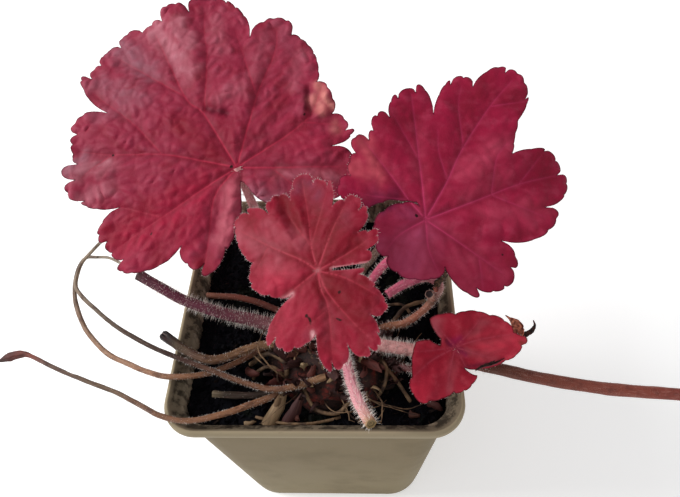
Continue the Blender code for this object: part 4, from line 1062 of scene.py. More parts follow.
def makeScrap(name, look):           # a dead piece of leaf: a thin sheet that curls over its width
    course = evenly(smoothRoute(look["route"], 10), 0.3)
    shares = np.linspace(0, 1, len(course))
    half = np.interp(shares * (len(look["half"]) - 1), range(len(look["half"])), look["half"])
    columns = 11
    sheets = [[], []]
    along = []
    for index, point in enumerate(course):
        ahead = course[min(index + 1, len(course) - 1)] - course[max(index - 1, 0)]
        ahead = ahead / np.linalg.norm(ahead)
        side = np.cross(ahead, look["hollow"])
        side /= np.linalg.norm(side)
        up = np.cross(side, ahead)
        bend = look["curl"] * (0.75 + 0.4 * noise.noise(Vector((index * 0.25, len(name), 0))))
        for column in range(columns):
            off = column / (columns - 1) * 2 - 1
            frayed = half[index] * (1 + 0.3 * noise.noise(Vector((off * 2, index * 0.5, len(name)))))
            across = math.sin(off * bend) / bend * frayed
            lift = (1 - math.cos(off * bend)) / bend * frayed
            crease = 0.12 * noise.noise(Vector((off * 3, index * 0.4, 7)))
            for sheet, thick in zip(sheets, (paperHalf, -paperHalf)):
                sheet.append(point + side * across + up * (lift + crease + thick))
            along.append((across, shares[index] * len(course) * 0.3, lift))
    rows, size = len(course), len(course) * columns
    faces = []
    for row in range(rows - 1):
        for column in range(columns - 1):
            first = row * columns + column
            quad = (first, first + 1, first + columns + 1, first + columns)
            faces += [quad, tuple(corner + size for corner in quad[::-1])]
    used = {(quad[side], quad[(side + 1) % 4]) for quad in faces[::2] for side in range(4)}
    faces += [(end, start, start + size, end + size)
              for start, end in sorted(used) if (end, start) not in used]
    piece = addMesh(name, sheets[0] + sheets[1], faces, {"skin": along + along})
    paint = Finish(name.replace("_", " "), {"Specular IOR Level": 0.3})
    skin = paint.skin()
    patch = paint.cloud(skin, 1.3, 4, 0.6)
    grain = paint.cloud(paint.stretch(skin, (2, 0.4, 1)), 0.5, 4)
    colour = paint.coat(tint(*look["light"]), look["dark"], patch.between(0.34, 0.62))
    colour = paint.coat(colour, look["dark"], grain.between(0.55, 0.75) * 0.6)
    settle(piece, (), paint.close(colour, 0.5 + patch * 0.25, grain, 0.12), 60)


# the shine, the pale gloss over a blade's own colour, and the sizes of the patches on it, small to large
bladeLook = {"shine": 0.13, "gloss": 0.006, "grain": 0.28, "net": 1.3, "mottle": 3.4, "cloudy": 5.5,
             "blotch": 9}


def bladeTint(red, green, blue):     # a blade's own colour, less the pale gloss that lies over it
    return tuple(max(linear(value) - bladeLook["gloss"], 0.003) for value in (red, green, blue)) + (1.0,)


def leafFinish(name, leaf):
    look = bladeLook
    paint = Finish(name, {"Specular IOR Level": look["shine"]})
    colours = {label: bladeTint(*value) for label, value in leaf["colours"].items()}
    skin = paint.skin()
    mottle = paint.cloud(skin, look["mottle"], 2.5, 0.5)
    blotch = paint.cloud(skin, look["blotch"], 3)
    cloudy = paint.cloud(paint.stretch(skin, (1, 1.3, 1)), look["cloudy"], 3, 0.55)
    grain = paint.cloud(skin, look["grain"], 2, 0.6)
    net = paint.cells(skin, look["net"])
    netLine = 1 - net.between(0.0, 0.16)
    colour = paint.mix(colours["blade"], colours["deep"], blotch.between(0.46, 0.7) * 0.55)
    # large clouds, and mottled patches on the pillows' crests, of the paler crest colour: painted sheen
    colour = paint.mix(colour, colours["crest"], cloudy.between(0.46, 0.7) * leaf["cloudy"])
    crest = paint.mark("crest")
    colour = paint.mix(colour, colours["crest"], crest * mottle.between(0.34, 0.66) * (0.6 * leaf["quilt"]))
    # the pale, grey and flap patches are painted sheen, the lit ones painted highlights, the shade ones
    # painted shade
    for label in leaf["patches"]:
        if label != "spot":
            stainAndLightShare = paint.mark(label) * (0.5 + crest * 0.45 + mottle * 0.35)
            colour = paint.mix(colour, colours[label], stainAndLightShare)
    # painted shade in the furrows by the veins, in the fine net's grooves and in the grain's hollows, and
    # painted sheen on the grain's tops
    colour = paint.mix(colour, colours["furrow"], paint.mark("furrow") * 0.5)
    colour = paint.mix(colour, colours["furrow"], netLine * (leaf["net"] * mottle))
    colour = paint.mix(colour, colours["crest"], grain.between(0.5, 0.8) * 0.2)
    colour = paint.mix(colour, colours["furrow"], (1 - grain.between(0.22, 0.48)) * 0.22)
    colour = paint.mix(colour, colours["vein"], paint.mark("vein") * 0.8)
    if "spot" in leaf["patches"]:
        colour = paint.mix(colour, colours["spot"], paint.mark("spot").between(0.3, 0.6))
    colour = paint.mix(colour, colours["rim"], paint.mark("rim").between(0.25, 0.95) * 0.75)
    colour = paint.mix(colour, colours["under"], paint.mark("under") * 0.75)
    rough = 0.56 + mottle * 0.12 - paint.mark("vein") * 0.08
    height = grain * 0.3 - netLine * leaf["net"] + mottle * 0.35
    return paint.close(colour, rough, height, 0.2)


# Stalks and stems
# skin: colours along the stem from the crown outwards; hairs: (count per square millimetre, length);
# stands: the model's nodes that a stem stands for, where that isn't the one of its own name;
# ribs: (number, depth as a share of the radius); bald: the stretch over which the hairs end; down: the fine
# fuzz, as hairs; cut: the colour of the cut end; blot and blots: the colour and strength of the dark patches
stemLook = {
    "stub_long": dict(
        slot="purple_stalk", radius=[2.0, 2.2, 1.9, 1.7, 1.7, 1.8],
        route=[(-6, -12, 98), (-16, -9, 100.5), (-30, -7.6, 105), (-41.4, -5.2, 109), (-49.4, -1.9, 112),
               (-56.3, 1.4, 114.2)],
        skin=[(0.0, (142, 98, 100)), (0.4, (112, 62, 74)), (0.8, (96, 42, 62)), (0.95, (84, 44, 56)),
              (1.0, (60, 44, 46))],
        ribs=(8, 0.05), hairs=(2.0, 2.2), bald=(0.84, 0.97), cut=(58, 50, 50)),
    "stub_smooth": dict(
        slot="brown_stalk", radius=[1.1, 1.1, 1.1, 1.0],
        route=[(-5, -8, 95.2), (-12, -2, 95.2), (-25.7, 3.6, 95.4), (-39, 4.6, 96.5)],
        skin=[(0.0, (92, 50, 42)), (0.7, (120, 66, 54)), (1.0, (126, 84, 66))], ribs=(5, 0.06),
        hairs=(0.6, 0.4), cut=(110, 96, 84)),
    "stub_dry": dict(
        slot="brown_stalk", radius=[1.35, 1.35, 1.3, 1.25, 1.25, 1.3, 1.35, 1.5],
        route=[(-5.5, -19, 98.2), (-10.5, -16.6, 99.2), (-17.1, -16.6, 100), (-23.5, -19.3, 101),
               (-28.7, -22, 102), (-33.6, -22.7, 103), (-40.3, -19.8, 103.7), (-47.9, -15, 104.6)],
        skin=[(0.0, (96, 66, 46)), (0.3, (128, 96, 68)), (0.55, (104, 74, 52)), (0.72, (84, 60, 46)),
              (0.86, (78, 64, 48)), (0.94, (30, 24, 22)), (1.0, (10, 9, 10))],
        ribs=(5, 0.14), hairs=(1.6, 0.55), bald=(0.7, 0.9), cut=(10, 9, 10), blots=0.7),
    "dry_stem_inner": dict(
        slot="dry_stem",
        radius=[1.1, 1.0, 0.9, 0.85, 0.8, 0.75, 0.7, 0.7, 0.65, 0.65, 0.65, 0.6, 0.6, 0.55, 0.5, 0.5, 0.45],
        route=[(3.5, -27, 99.6), (-4.2, -30, 100.2), (-12, -31.4, 100.4), (-21, -29.6, 101.4),
               (-32, -26.1, 103.2), (-41.2, -23.2, 105), (-50, -20, 106.4), (-58.5, -15.7, 107),
               (-64.7, -11.8, 107), (-71.5, -6.6, 107), (-77.2, -1.9, 107), (-80.1, 1.7, 107.5),
               (-80.4, 6.3, 108.5), (-79.1, 9.9, 110), (-75.6, 13, 112.2), (-71.6, 15.3, 115),
               (-68, 16.2, 118)],
        skin=[(0.0, (146, 112, 82)), (0.1, (122, 84, 60)), (0.24, (100, 66, 48)), (0.42, (60, 42, 36)),
              (0.62, (86, 70, 56)), (0.8, (136, 118, 100)), (1.0, (150, 136, 116))],
        ribs=(5, 0.1), hairs=(2.4, 0.7), bald=(0.3, 0.45), cut=(120, 104, 86), blots=0.6),
    "dry_stem_outer": dict(
        slot="dry_stem",
        radius=[0.95, 0.95, 0.9, 0.9, 0.85, 0.8, 0.8, 0.8, 0.75, 0.75, 0.7, 0.65, 0.6, 0.55, 0.5, 0.45,
                0.45],
        route=[(-7, -14.5, 95.5), (-17, -16.2, 96.3), (-26.9, -22.6, 98.2), (-34.4, -26.6, 100.6),
               (-43.6, -28.3, 102.6), (-51.3, -26.4, 102.4), (-58.2, -23.5, 101.8), (-65.8, -19.8, 101),
               (-72.7, -14.1, 101), (-77.8, -8.1, 101.4), (-82, -0.2, 102.4), (-83, 5.3, 103.9),
               (-82.4, 10.6, 105.9), (-80.2, 13.4, 107.4), (-75.6, 12.6, 108.8), (-69.1, 9.6, 112.5),
               (-61.6, 4.2, 116.4)],
        skin=[(0.0, (80, 54, 40)), (0.2, (124, 84, 60)), (0.36, (150, 108, 82)), (0.5, (156, 120, 96)),
              (0.75, (108, 92, 78)), (1.0, (150, 138, 120))],
        ribs=(5, 0.1), hairs=(1.8, 0.5), bald=(0.4, 0.6), cut=(120, 104, 86), blots=0.55),
    "dry_stem_low": dict(
        slot="dry_stem",
        radius=[1.1, 1.0, 0.95, 0.9, 0.85, 0.8, 0.75, 0.7, 0.7, 0.65, 0.65, 0.65, 1.2, 1.5, 0.5],
        route=[(-7.5, -28.6, 95.5), (-12, -32, 97), (-18.8, -35.6, 99), (-24.2, -38.4, 100.6),
               (-32.3, -41.2, 102), (-38.5, -41.6, 102.6), (-44.5, -40.2, 102.8), (-50.8, -37.1, 102.5),
               (-60, -32.6, 101.5), (-69.8, -28.8, 100), (-83.1, -23.2, 97.5), (-95.4, -17.2, 94.5),
               (-99.5, -16, 93.6), (-104, -16.4, 92.4), (-107.6, -17.4, 91.4)],
        skin=[(0.0, (104, 72, 52)), (0.16, (142, 98, 70)), (0.42, (112, 78, 58)), (0.55, (98, 78, 58)),
              (0.8, (84, 60, 50)), (0.88, (116, 54, 40)), (0.94, (92, 40, 34)), (1.0, (60, 36, 34))],
        ribs=(5, 0.12), hairs=(1.8, 0.55), bald=(0.4, 0.55), cut=(90, 66, 52), blots=0.6),
    "stub_thin": dict(
        slot="brown_stalk", radius=[1.0, 1.0, 1.0, 1.05],
        route=[(-8, -25, 94.8), (-12.5, -29.5, 95), (-20, -31.3, 95.2), (-31.5, -30.8, 95.6)],
        skin=[(0.0, (46, 36, 30)), (0.85, (56, 46, 38)), (1.0, (112, 98, 78))], ribs=(4, 0.12),
        hairs=(0.3, 0.4), cut=(150, 138, 116)),
    "stub_front": dict(
        slot="pale_stalk", radius=[1.5, 1.5, 1.45, 1.5, 1.5],
        route=[(8.5, -17.5, 99.5), (10, -24, 104.6), (12.2, -34.1, 110), (14.5, -41.5, 114),
               (17.4, -47.7, 117)],
        skin=[(0.0, (176, 112, 118)), (0.45, (204, 134, 146)), (0.8, (214, 150, 156)),
              (0.94, (204, 154, 144)), (1.0, (160, 128, 90))],
        ribs=(6, 0.08), hairs=(2.5, 1.9), cut=(140, 116, 74), blot=(134, 74, 86)),
    "stub_hook": dict(
        slot="pink_stalk", radius=[1.3, 1.25, 1.2, 1.2, 1.25, 1.4, 1.5, 1.45, 1.4, 1.25],
        route=[(15.5, -12, 98), (22.4, -9.4, 98.4), (28.5, -8.9, 100), (33.6, -6.7, 103), (37.8, -3.4, 106),
               (39.4, -0.6, 108.4), (37.2, 1.4, 110), (33.4, 1.3, 110.6), (27.4, -1.2, 110.2),
               (22.8, -4.2, 109.6)],
        skin=[(0.0, (92, 66, 50)), (0.2, (140, 94, 70)), (0.36, (168, 108, 86)), (0.46, (164, 112, 92)),
              (0.51, (96, 76, 64)), (0.57, (168, 130, 122)), (0.68, (190, 118, 128)),
              (0.78, (196, 96, 124)), (1.0, (200, 96, 124))],
        ribs=(6, 0.06), hairs=(2.0, 1.3), cut=(70, 60, 56), blot=(110, 66, 60)),
    "stub_hook_end": dict(
        slot="pink_stalk", stands=[], radius=[1.1, 1.2, 1.25, 1.3],
        route=[(37.4, -4.1, 105.4), (36.7, -3.5, 106.7), (36.2, -3.3, 107.8), (36.05, -3.6, 108.7)],
        skin=[(0.0, (150, 96, 76)), (0.6, (186, 140, 124)), (1.0, (196, 160, 144))], ribs=(5, 0.06),
        hairs=(1.6, 0.7), cut=(44, 34, 36)),
    "stub_olive": dict(
        slot="brown_stalk", radius=[1.2, 1.2, 1.2, 1.2, 1.1],
        route=[(8, -9, 96), (10, -1, 97.5), (14.2, 8, 103), (19.6, 12.1, 110), (22.6, 14, 115)],
        skin=[(0.0, (92, 74, 58)), (0.6, (122, 104, 84)), (1.0, (150, 126, 112))], ribs=(5, 0.08),
        hairs=(2.0, 0.9), cut=(90, 78, 60)),
    "flower_stem": dict(
        slot="red_stem", radius=[2.0, 2.0, 1.9, 1.8, 1.75, 1.7, 1.65, 1.65, 1.6, 1.6],
        route=[(14.5, -16, 99), (19.5, -17, 100.6), (30.9, -20.6, 104), (42.5, -24.7, 106.4),
               (54, -28.8, 108.5), (66, -32.6, 110), (79.7, -35.5, 111), (89.9, -36.6, 111),
               (100.4, -37.2, 110.5), (114.5, -37.4, 109)],
        skin=[(0.0, (200, 146, 144)), (0.2, (214, 156, 152)), (0.3, (160, 98, 92)), (0.38, (92, 58, 46)),
              (0.5, (116, 62, 50)), (0.75, (132, 66, 54)), (1.0, (124, 50, 46))],
        ribs=(9, 0.04), hairs=(2.4, 1.9), bald=(0.3, 0.4), down=(7.0, 0.3), cut=(150, 128, 96),
        blot=(82, 44, 40), blots=0.5),
}
# A leaf stalk ends under its blade, so its last point comes from the leaf
stalkLook = {
    "stalk_left": dict(
        leaf="leaf_left", slot="pink_stalk", radius=[1.7, 1.5, 1.35, 1.4],
        route=[(-1, -11, 99), (-8.5, -1.5, 110), (-16.5, 13.5, 125.5)],
        skin=[(0.0, (170, 100, 110)), (1.0, (214, 150, 152))], ribs=(6, 0.06), hairs=(2.4, 1.5)),
    "stalk_right": dict(
        leaf="leaf_right", slot="pink_stalk", radius=[1.5, 1.3, 1.25, 1.2, 1.3],
        route=[(10, -14, 100), (15.2, -2.6, 106), (20.5, 2.2, 114), (27.5, 3, 124.5)],
        skin=[(0.0, (160, 82, 96)), (0.5, (196, 86, 116)), (1.0, (204, 94, 124))], ribs=(6, 0.06),
        hairs=(1.5, 1.7), blot=(150, 56, 80)),
    "stalk_front": dict(
        leaf="leaf_front", slot="pink_stalk", radius=[1.4, 1.2, 1.1, 1.1],
        route=[(2.5, -17.5, 101), (3.2, -18.5, 118), (4.4, -20, 135)],
        skin=[(0.0, (170, 96, 104)), (1.0, (214, 140, 144))], ribs=(6, 0.06), hairs=(2.4, 1.1)),
    "stalk_folded": dict(
        leaf="leaf_folded", slot="pink_stalk", radius=[1.2, 1.1, 1.0, 1.0, 1.0],
        route=[(16.5, -20.8, 96.2), (24, -22, 97), (31, -25.2, 100), (37.6, -28.4, 106)],
        skin=[(0.0, (112, 78, 74)), (0.6, (104, 62, 66)), (1.0, (150, 80, 84))], ribs=(5, 0.08),
        hairs=(2.0, 1.8)),
}


def stemRings(name, spec, sides):    # points round the stem, with their place on its skin
    course = smoothRoute(spec["route"], 14)
    shares = np.linspace(0, 1, len(course))
    width = np.interp(shares * (len(spec["radius"]) - 1), range(len(spec["radius"])), spec["radius"])
    even = evenly(np.column_stack((course, width)), 0.6)
    course, width = even[:, :3], even[:, 3]
    ribs, depth = spec["ribs"]
    seed = sum(map(ord, name)) % 50
    lengths = np.concatenate(([0], np.cumsum(np.linalg.norm(np.diff(course, axis=0), axis=1))))
    side = None
    rings, skins = [], []
    for index, point in enumerate(course):
        ahead = course[min(index + 1, len(course) - 1)] - course[max(index - 1, 0)]
        ahead = ahead / np.linalg.norm(ahead)
        if side is None:
            side = np.cross(ahead, (0, 0, 1) if abs(ahead[2]) < 0.9 else (1, 0, 0))
        side = side - ahead * (side @ ahead)
        side = side / np.linalg.norm(side)
        other = np.cross(ahead, side)
        ring, skin = [], []
        for step in range(sides):
            turn = step / sides * math.tau
            c, s = math.cos(turn), math.sin(turn)
            wrinkle = noise.noise(Vector((c * 1.2, s * 1.2 + seed, lengths[index] * 0.16)))
            knot = noise.noise(Vector((c * 0.5, s * 0.5 - seed, lengths[index] * 0.5)))
            swell = (1 + depth * math.cos(ribs * turn + wrinkle * 2) + depth * 1.6 * wrinkle
                     + depth * 0.8 * knot)
            radius = width[index] * min(swell, 1.12)
            ring.append(point + radius * (c * side + s * other))
            skin.append((c * width[index], s * width[index], lengths[index]))
        rings.append(ring)
        skins.append(skin)
    return course, rings, skins, lengths / lengths[-1]


# a cut end, from its rim to its middle: the share of the stem's radius, how far out, and how much it is cut
cutSteps = [(0.93, 0.14, 0.4), (0.8, 0.12, 1), (0.66, -0.12, 1), (0.3, -0.25, 1), (0.06, -0.1, 1)]


def makeStem(name, spec, hairs, coatings):
    sides = 24 if max(spec["radius"]) > 1.3 else 16
    course, rings, skins, shares = stemRings(name, spec, sides)
    ahead = course[-1] - course[-3]
    ahead = ahead / np.linalg.norm(ahead)
    wall = len(rings)
    cuts = cutSteps if "cut" in spec else []
    last, lastSkin = rings[-1], skins[-1]
    for share, out, _ in cuts:
        rings.append([course[-1] + (point - course[-1]) * share + ahead * out for point in last])
        skins.append([(x * share, y * share, z) for x, y, z in lastSkin])
    points, faces = loft(rings)
    along = np.concatenate((np.repeat(shares, sides), np.ones(len(cuts) * sides)))
    ended = np.concatenate((np.zeros(wall * sides), np.repeat([cutShare for _, _, cutShare in cuts], sides)))
    skin = [place for ring in skins for place in ring]
    level = np.repeat(np.arange(len(rings) - 1), sides)
    here = shares[np.minimum(level, wall - 1)]
    hairy = np.where(level < wall - 1, 1.0, 0.0)
    thick = hairy * (here > 0.02)
    if "bald" in spec:
        thin, bare = spec["bald"]
        thick = thick * (1 - np.clip((here - thin) / (bare - thin), 0, 1))
    piece = addMesh(name + "_skin", points, faces, {"along": along, "ended": ended, "skin": skin},
                    {"fuzz": np.concatenate((thick, (0, 0)))})
    settle(piece, spec.get("stands", [name]), stemFinish(name.replace("_", " "), spec), 50)
    density, length = spec["hairs"]
    coat = grow(hairs, piece, name + "_hairs",
                {**coatings["white hairs"], "Density": density, "Length": length, "Seed": len(name)})
    settle(coat)
    if "down" in spec:
        density, length = spec["down"]
        downy = np.concatenate((hairy * (here > 0.25), (0, 0)))
        piece.data.attributes["fuzz"].data.foreach_set("value", downy.astype(np.float32))
        down = grow(hairs, piece, name + "_down",
                    {**coatings["fine fuzz"], "Density": density, "Length": length, "Seed": 2})
        settle(down)


# what every stem's colours share: the shine, the colours in its creases and on its ridges, and of its pith
stemPaint = {"shine": 0.22, "crease": (60, 34, 34), "ridge": (226, 190, 180), "blot": (58, 34, 32),
             "blots": 0.35, "pith": (24, 20, 20)}


def stemFinish(name, spec):
    look = {**stemPaint, **spec}
    paint = Finish(name, {"Specular IOR Level": look["shine"]})
    skin = paint.skin()
    fine = paint.cloud(paint.stretch(skin, (1, 1, 0.12)), 0.35, 4, 0.6)
    mottle = paint.cloud(paint.stretch(skin, (1, 1, 0.5)), 1.4, 4, 0.6)
    colour = paint.ramp(paint.mark("along"), [(place, tint(*shade)) for place, shade in spec["skin"]])
    colour = paint.coat(colour, look["crease"], fine.between(0.5, 0.78) * 0.38)
    colour = paint.coat(colour, look["ridge"], (1 - fine.between(0.26, 0.46)) * 0.2)
    colour = paint.coat(colour, look["blot"], mottle.between(0.48, 0.68) * look["blots"])
    if "cut" in spec:
        ringed = paint.node("TexWave", {"wave_type": "RINGS", "rings_direction": "Z"},
                            {"Vector": skin, "Scale": 0.55, "Distortion": 2.0, "Detail": 2.0})
        pith = paint.coat(tint(*look["cut"]), look["pith"], ringed * 0.7)
        colour = paint.mix(colour, pith, paint.mark("ended"))
    rough = 0.5 + mottle * 0.2
    return paint.close(colour, rough, fine * 0.8 + mottle * 0.5, 0.12)


def hairFinish(name, root, tip):
    paint = Finish(name, {"Specular IOR Level": 0.3})
    shade = paint.cloud(paint.place(), 2.0, 2)
    return paint.close(paint.mix(tint(*root), tint(*tip), shade.between(0.35, 0.65)), 0.55 + shade * 0.1)


# Crown
crownLook = {
    "centre": (6.0, -20.0, 92.0), "half": (21.0, 15.0, 9.0), "lumps": 0.2, "seed": 11,
    "scales": 120, "scaleLength": (3.5, 8.5), "scaleWidth": (0.9, 2.4),
    "stumps": 26, "stumpLength": (3.0, 7.0), "stumpRadius": (1.0, 1.8),
    "rootlets": 26, "rootletRadius": (0.14, 0.34), "rootletStep": 1.3, "soilEdge": 40.5,
    "bark": (44, 24, 20), "barkDeep": (20, 13, 12), "barkRust": (112, 38, 30), "barkPale": (104, 82, 58),
    "scaleDeep": (28, 14, 12), "scalePale": (150, 118, 88),
    "rootDark": (54, 38, 28), "rootPale": (120, 95, 70), "rootGrain": (40, 26, 20),
    "scaleColours": [(0.0, (28, 14, 13)), (0.3, (56, 22, 20)), (0.5, (86, 38, 31)), (0.68, (66, 46, 34)),
                     (0.85, (118, 92, 66)), (1.0, (166, 142, 108))],
    # base, tip, width, hue and curl of the larger sheaths
    "sheaths": [((-13.7, -40.2, 93), (-7.5, -30.6, 101), 5.0, 0.9, 0.25),
                ((-8.3, -40.0, 93), (-3.0, -33.4, 101), 4.6, 0.3, 0.2),
                ((-12.5, -38.5, 94), (-9.5, -31.5, 100), 3.0, 0.8, -0.2),
                ((-22, -22.5, 94), (-18.5, -26, 98.5), 3.2, 0.45, 0.3),
                ((-1.5, -27.5, 98), (0.5, -24.5, 103), 3.0, 0.5, 0.2),
                ((13.5, -30, 95), (16, -25, 102), 3.4, 0.5, 0.2),
                ((-6, -36, 95), (-4.5, -39.5, 96.5), 2.6, 0.55, 0.3),
                ((35, -32, 92.5), (38.5, -35.5, 94.5), 3.0, 0.35, 0.4),
                ((-15, -15, 95), (-12.5, -13, 100.5), 3.0, 0.7, 0.3),
                ((29, -36, 92.3), (32, -37.5, 94), 2.4, 0.6, 0.4),
                ((-21, -39.5, 92.3), (-17.5, -39, 93.6), 2.2, 0.9, 0.3)],
    # routes of the dry loops, and their thickness
    "loops": [([(16, -16, 96), (19.1, -19.7, 98), (21.5, -22.3, 99.2), (22.3, -25.3, 98.8),
                (21, -29.6, 96.5), (17.6, -32.8, 92.5)], 0.6),
                ([(15, -17, 96), (18.4, -19.5, 98.4), (21.8, -23.2, 98.2), (25.3, -27.4, 97),
                (29.4, -32.3, 93)], 0.62), ([(-5, -28, 95), (-3.4, -29.6, 97), (-1.5, -33, 96),
                (1.3, -36, 95), (7.1, -36.7, 95), (11, -33.7, 96.5), (13, -31, 96)], 0.62),
                ([(-21.5, -19.5, 92.5), (-20.3, -20.2, 95), (-17.1, -18.9, 97.5), (-13.7, -19.1, 99),
                  (-9.6, -21.8, 99), (-8.7, -24.1, 98), (-9.8, -27.6, 95)], 0.8),
                  ([(-20, -24.5, 92.5), (-19.1, -23.8, 95), (-14.8, -22.7, 97.6), (-11, -24.3, 97),
                    (-10.1, -27.4, 94)], 0.6), ([(22, -9.5, 96), (25.4, -7.1, 99.4), (28.7, -3.6, 100.6),
                    (33.1, -1.4, 100), (37, 1.5, 96), (39, 4, 92)], 0.75),
                    ([(22, -11, 96), (24.4, -9.8, 98), (28.3, -9.3, 98.4), (31, -6, 98), (28, -0.4, 97),
                      (22, 2, 92.5)], 0.5), ([(-18, -37, 92.5), (-10, -39.5, 94.5), (-2, -40, 95),
                      (4, -38.5, 93.5), (8, -37, 92.5)],
               0.5)],
}


def crownCore(look, divisions):
    work = bmesh.new()
    bmesh.ops.create_icosphere(work, subdivisions=divisions, radius=1)
    points = []
    for vert in work.verts:
        lump = 1 + noise.noise(vert.co * 2.2) * look["lumps"]
        bark = noise.noise(Vector((vert.co.x * 9, vert.co.y * 9, vert.co.z * 22))) * 0.045
        points.append([look["centre"][axis] + vert.co[axis] * look["half"][axis] * (lump + bark - 0.02)
                       for axis in range(3)])
    faces = [tuple(vert.index for vert in face.verts) for face in work.faces]
    work.free()
    return points, faces


def scaleSheet(base, out, side, length, width, curl, twist, draw):     # a ragged papery strip, curled
    up = np.cross(out, side)
    rows, columns = 7, 5
    torn = [(draw.uniform(0.6, 1.1), draw.uniform(0.6, 1.1)) for _ in range(rows)]
    ends = [draw.uniform(0.0, 0.22) for _ in range(columns)]
    points = []
    for thick in (paperHalf, -paperHalf):
        for row in range(rows):
            share = row / (rows - 1)
            half = width / 2 * (1.05 - 0.75 * share ** 2.2)
            lean = curl * share ** 2
            roll = twist * share
            for column in range(columns):
                off = column / (columns - 1) * 2 - 1
                reach = share * (1 - (ends[column] if row == rows - 1 else 0))
                cup = 0.5 * half * (1 - off ** 2)
                aside = side * math.cos(roll) + up * math.sin(roll)
                points.append(base + out * length * reach * (1 - 0.25 * share * abs(curl))
                              + up * (length * lean * share - cup + thick)
                              + aside * half * off * torn[row][int(off > 0)])
    faces = []
    size = rows * columns
    for row in range(rows - 1):
        for column in range(columns - 1):
            first = row * columns + column
            quad = (first, first + 1, first + columns + 1, first + columns)
            faces.append(quad)
            faces.append(tuple(corner + size for corner in quad[::-1]))
    border = (list(range(columns)) + [row * columns + columns - 1 for row in range(1, rows)]
              + [(rows - 1) * columns + column for column in range(columns - 2, -1, -1)]
              + [row * columns for row in range(rows - 2, 0, -1)])
    for index, corner in enumerate(border):
        after = border[(index + 1) % len(border)]
        faces.append((after, corner, corner + size, after + size))
    return points, [face[::-1] for face in faces]


def stump(base, out, length, radius, draw):      # the ragged foot of an old stalk
    side = np.cross(out, (0, 0, 1))
    side /= np.linalg.norm(side)
    up = np.cross(out, side)
    sides = 9
    torn = [draw.uniform(0.7, 1.1) for _ in range(sides)]
    rings = []
    for share, wide in ((-0.3, 1.25), (0, 1.2), (0.35, 1.0), (0.7, 0.9), (1.0, 0.82), (0.9, 0.45),
                        (0.75, 0.1)):
        ring = []
        for step in range(sides):
            turn = step / sides * math.tau
            ripple = 1 + 0.14 * math.sin(3 * turn + length * 5) + 0.1 * math.sin(5 * turn + share * 4)
            reach = length * share * (torn[step] if share > 0.6 else 1)
            ring.append(base + out * reach + radius * wide * ripple
                        * (math.cos(turn) * side + math.sin(turn) * up))
        rings.append(ring)
    return loft(rings)


class Heap:                          # many small shells in one mesh, each with its own hue
    def __init__(self):
        self.points, self.faces, self.hues, self.skins = [], [], [], []

    def add(self, shell, hue):
        points, faces = shell
        start = len(self.points)
        self.faces += [tuple(corner + start for corner in face) for face in faces]
        self.points += list(points)
        self.hues += [hue] * len(points)
        self.skins += [(number % 5 + start * 0.7, number // 5, hue * 10) for number in range(len(points))]

    def piece(self, name):
        return addMesh(name, self.points, self.faces, {"hue": self.hues, "skin": self.skins})


def makeCrown(look, strands):
    draw = random.Random(look["seed"])
    core = addMesh("rootstock_core", *crownCore(look, 5))
    settle(core, ["crown"], barkFinish(look), 60)
    scales, stumps = Heap(), Heap()
    centre = np.array(look["centre"])
    for index in range(look["scales"] + look["stumps"]):
        turn = draw.uniform(0, math.tau)
        high = draw.uniform(0.15, 0.97)
        ring = math.sqrt(1 - high ** 2)
        base = centre + np.array((math.cos(turn) * ring, math.sin(turn) * ring, high)) * look["half"] * 0.95
        lean = math.radians(draw.uniform(25, 85))
        heading = turn + draw.uniform(-0.7, 0.7)
        out = np.array((math.cos(heading) * math.cos(lean), math.sin(heading) * math.cos(lean),
                        math.sin(lean)))
        if index < look["stumps"]:
            shell = stump(base, out, draw.uniform(*look["stumpLength"]), draw.uniform(*look["stumpRadius"]),
                          draw)
            stumps.add(shell, draw.uniform(0.1, 0.62))
            continue
        side = np.cross(out, (draw.uniform(-1, 1), draw.uniform(-1, 1), 0.4))
        side /= np.linalg.norm(side)
        shell = scaleSheet(base, out, side, draw.uniform(*look["scaleLength"]) * (1 - 0.3 * high),
                           draw.uniform(*look["scaleWidth"]), draw.uniform(-0.4, 0.5),
                           draw.uniform(-0.9, 0.9), draw)
        scales.add(shell, draw.uniform(0, 0.66) if draw.random() < 0.86 else draw.uniform(0.7, 1))
    for base, tip, width, hue, curl in look["sheaths"]:
        way = np.subtract(tip, base)
        length = np.linalg.norm(way)
        side = np.cross(way / length, (0.1, -0.6, 0.8))
        side /= np.linalg.norm(side)
        scales.add(scaleSheet(np.array(base, float), way / length, side, length, width, curl, 0.3, draw),
                   hue)
    papery = scaleFinish(look)
    settle(scales.piece("rootstock_scales"), (), papery, 60)
    settle(stumps.piece("rootstock_stumps"), (), papery, 60)
    makeRootlets(look, strands, draw)


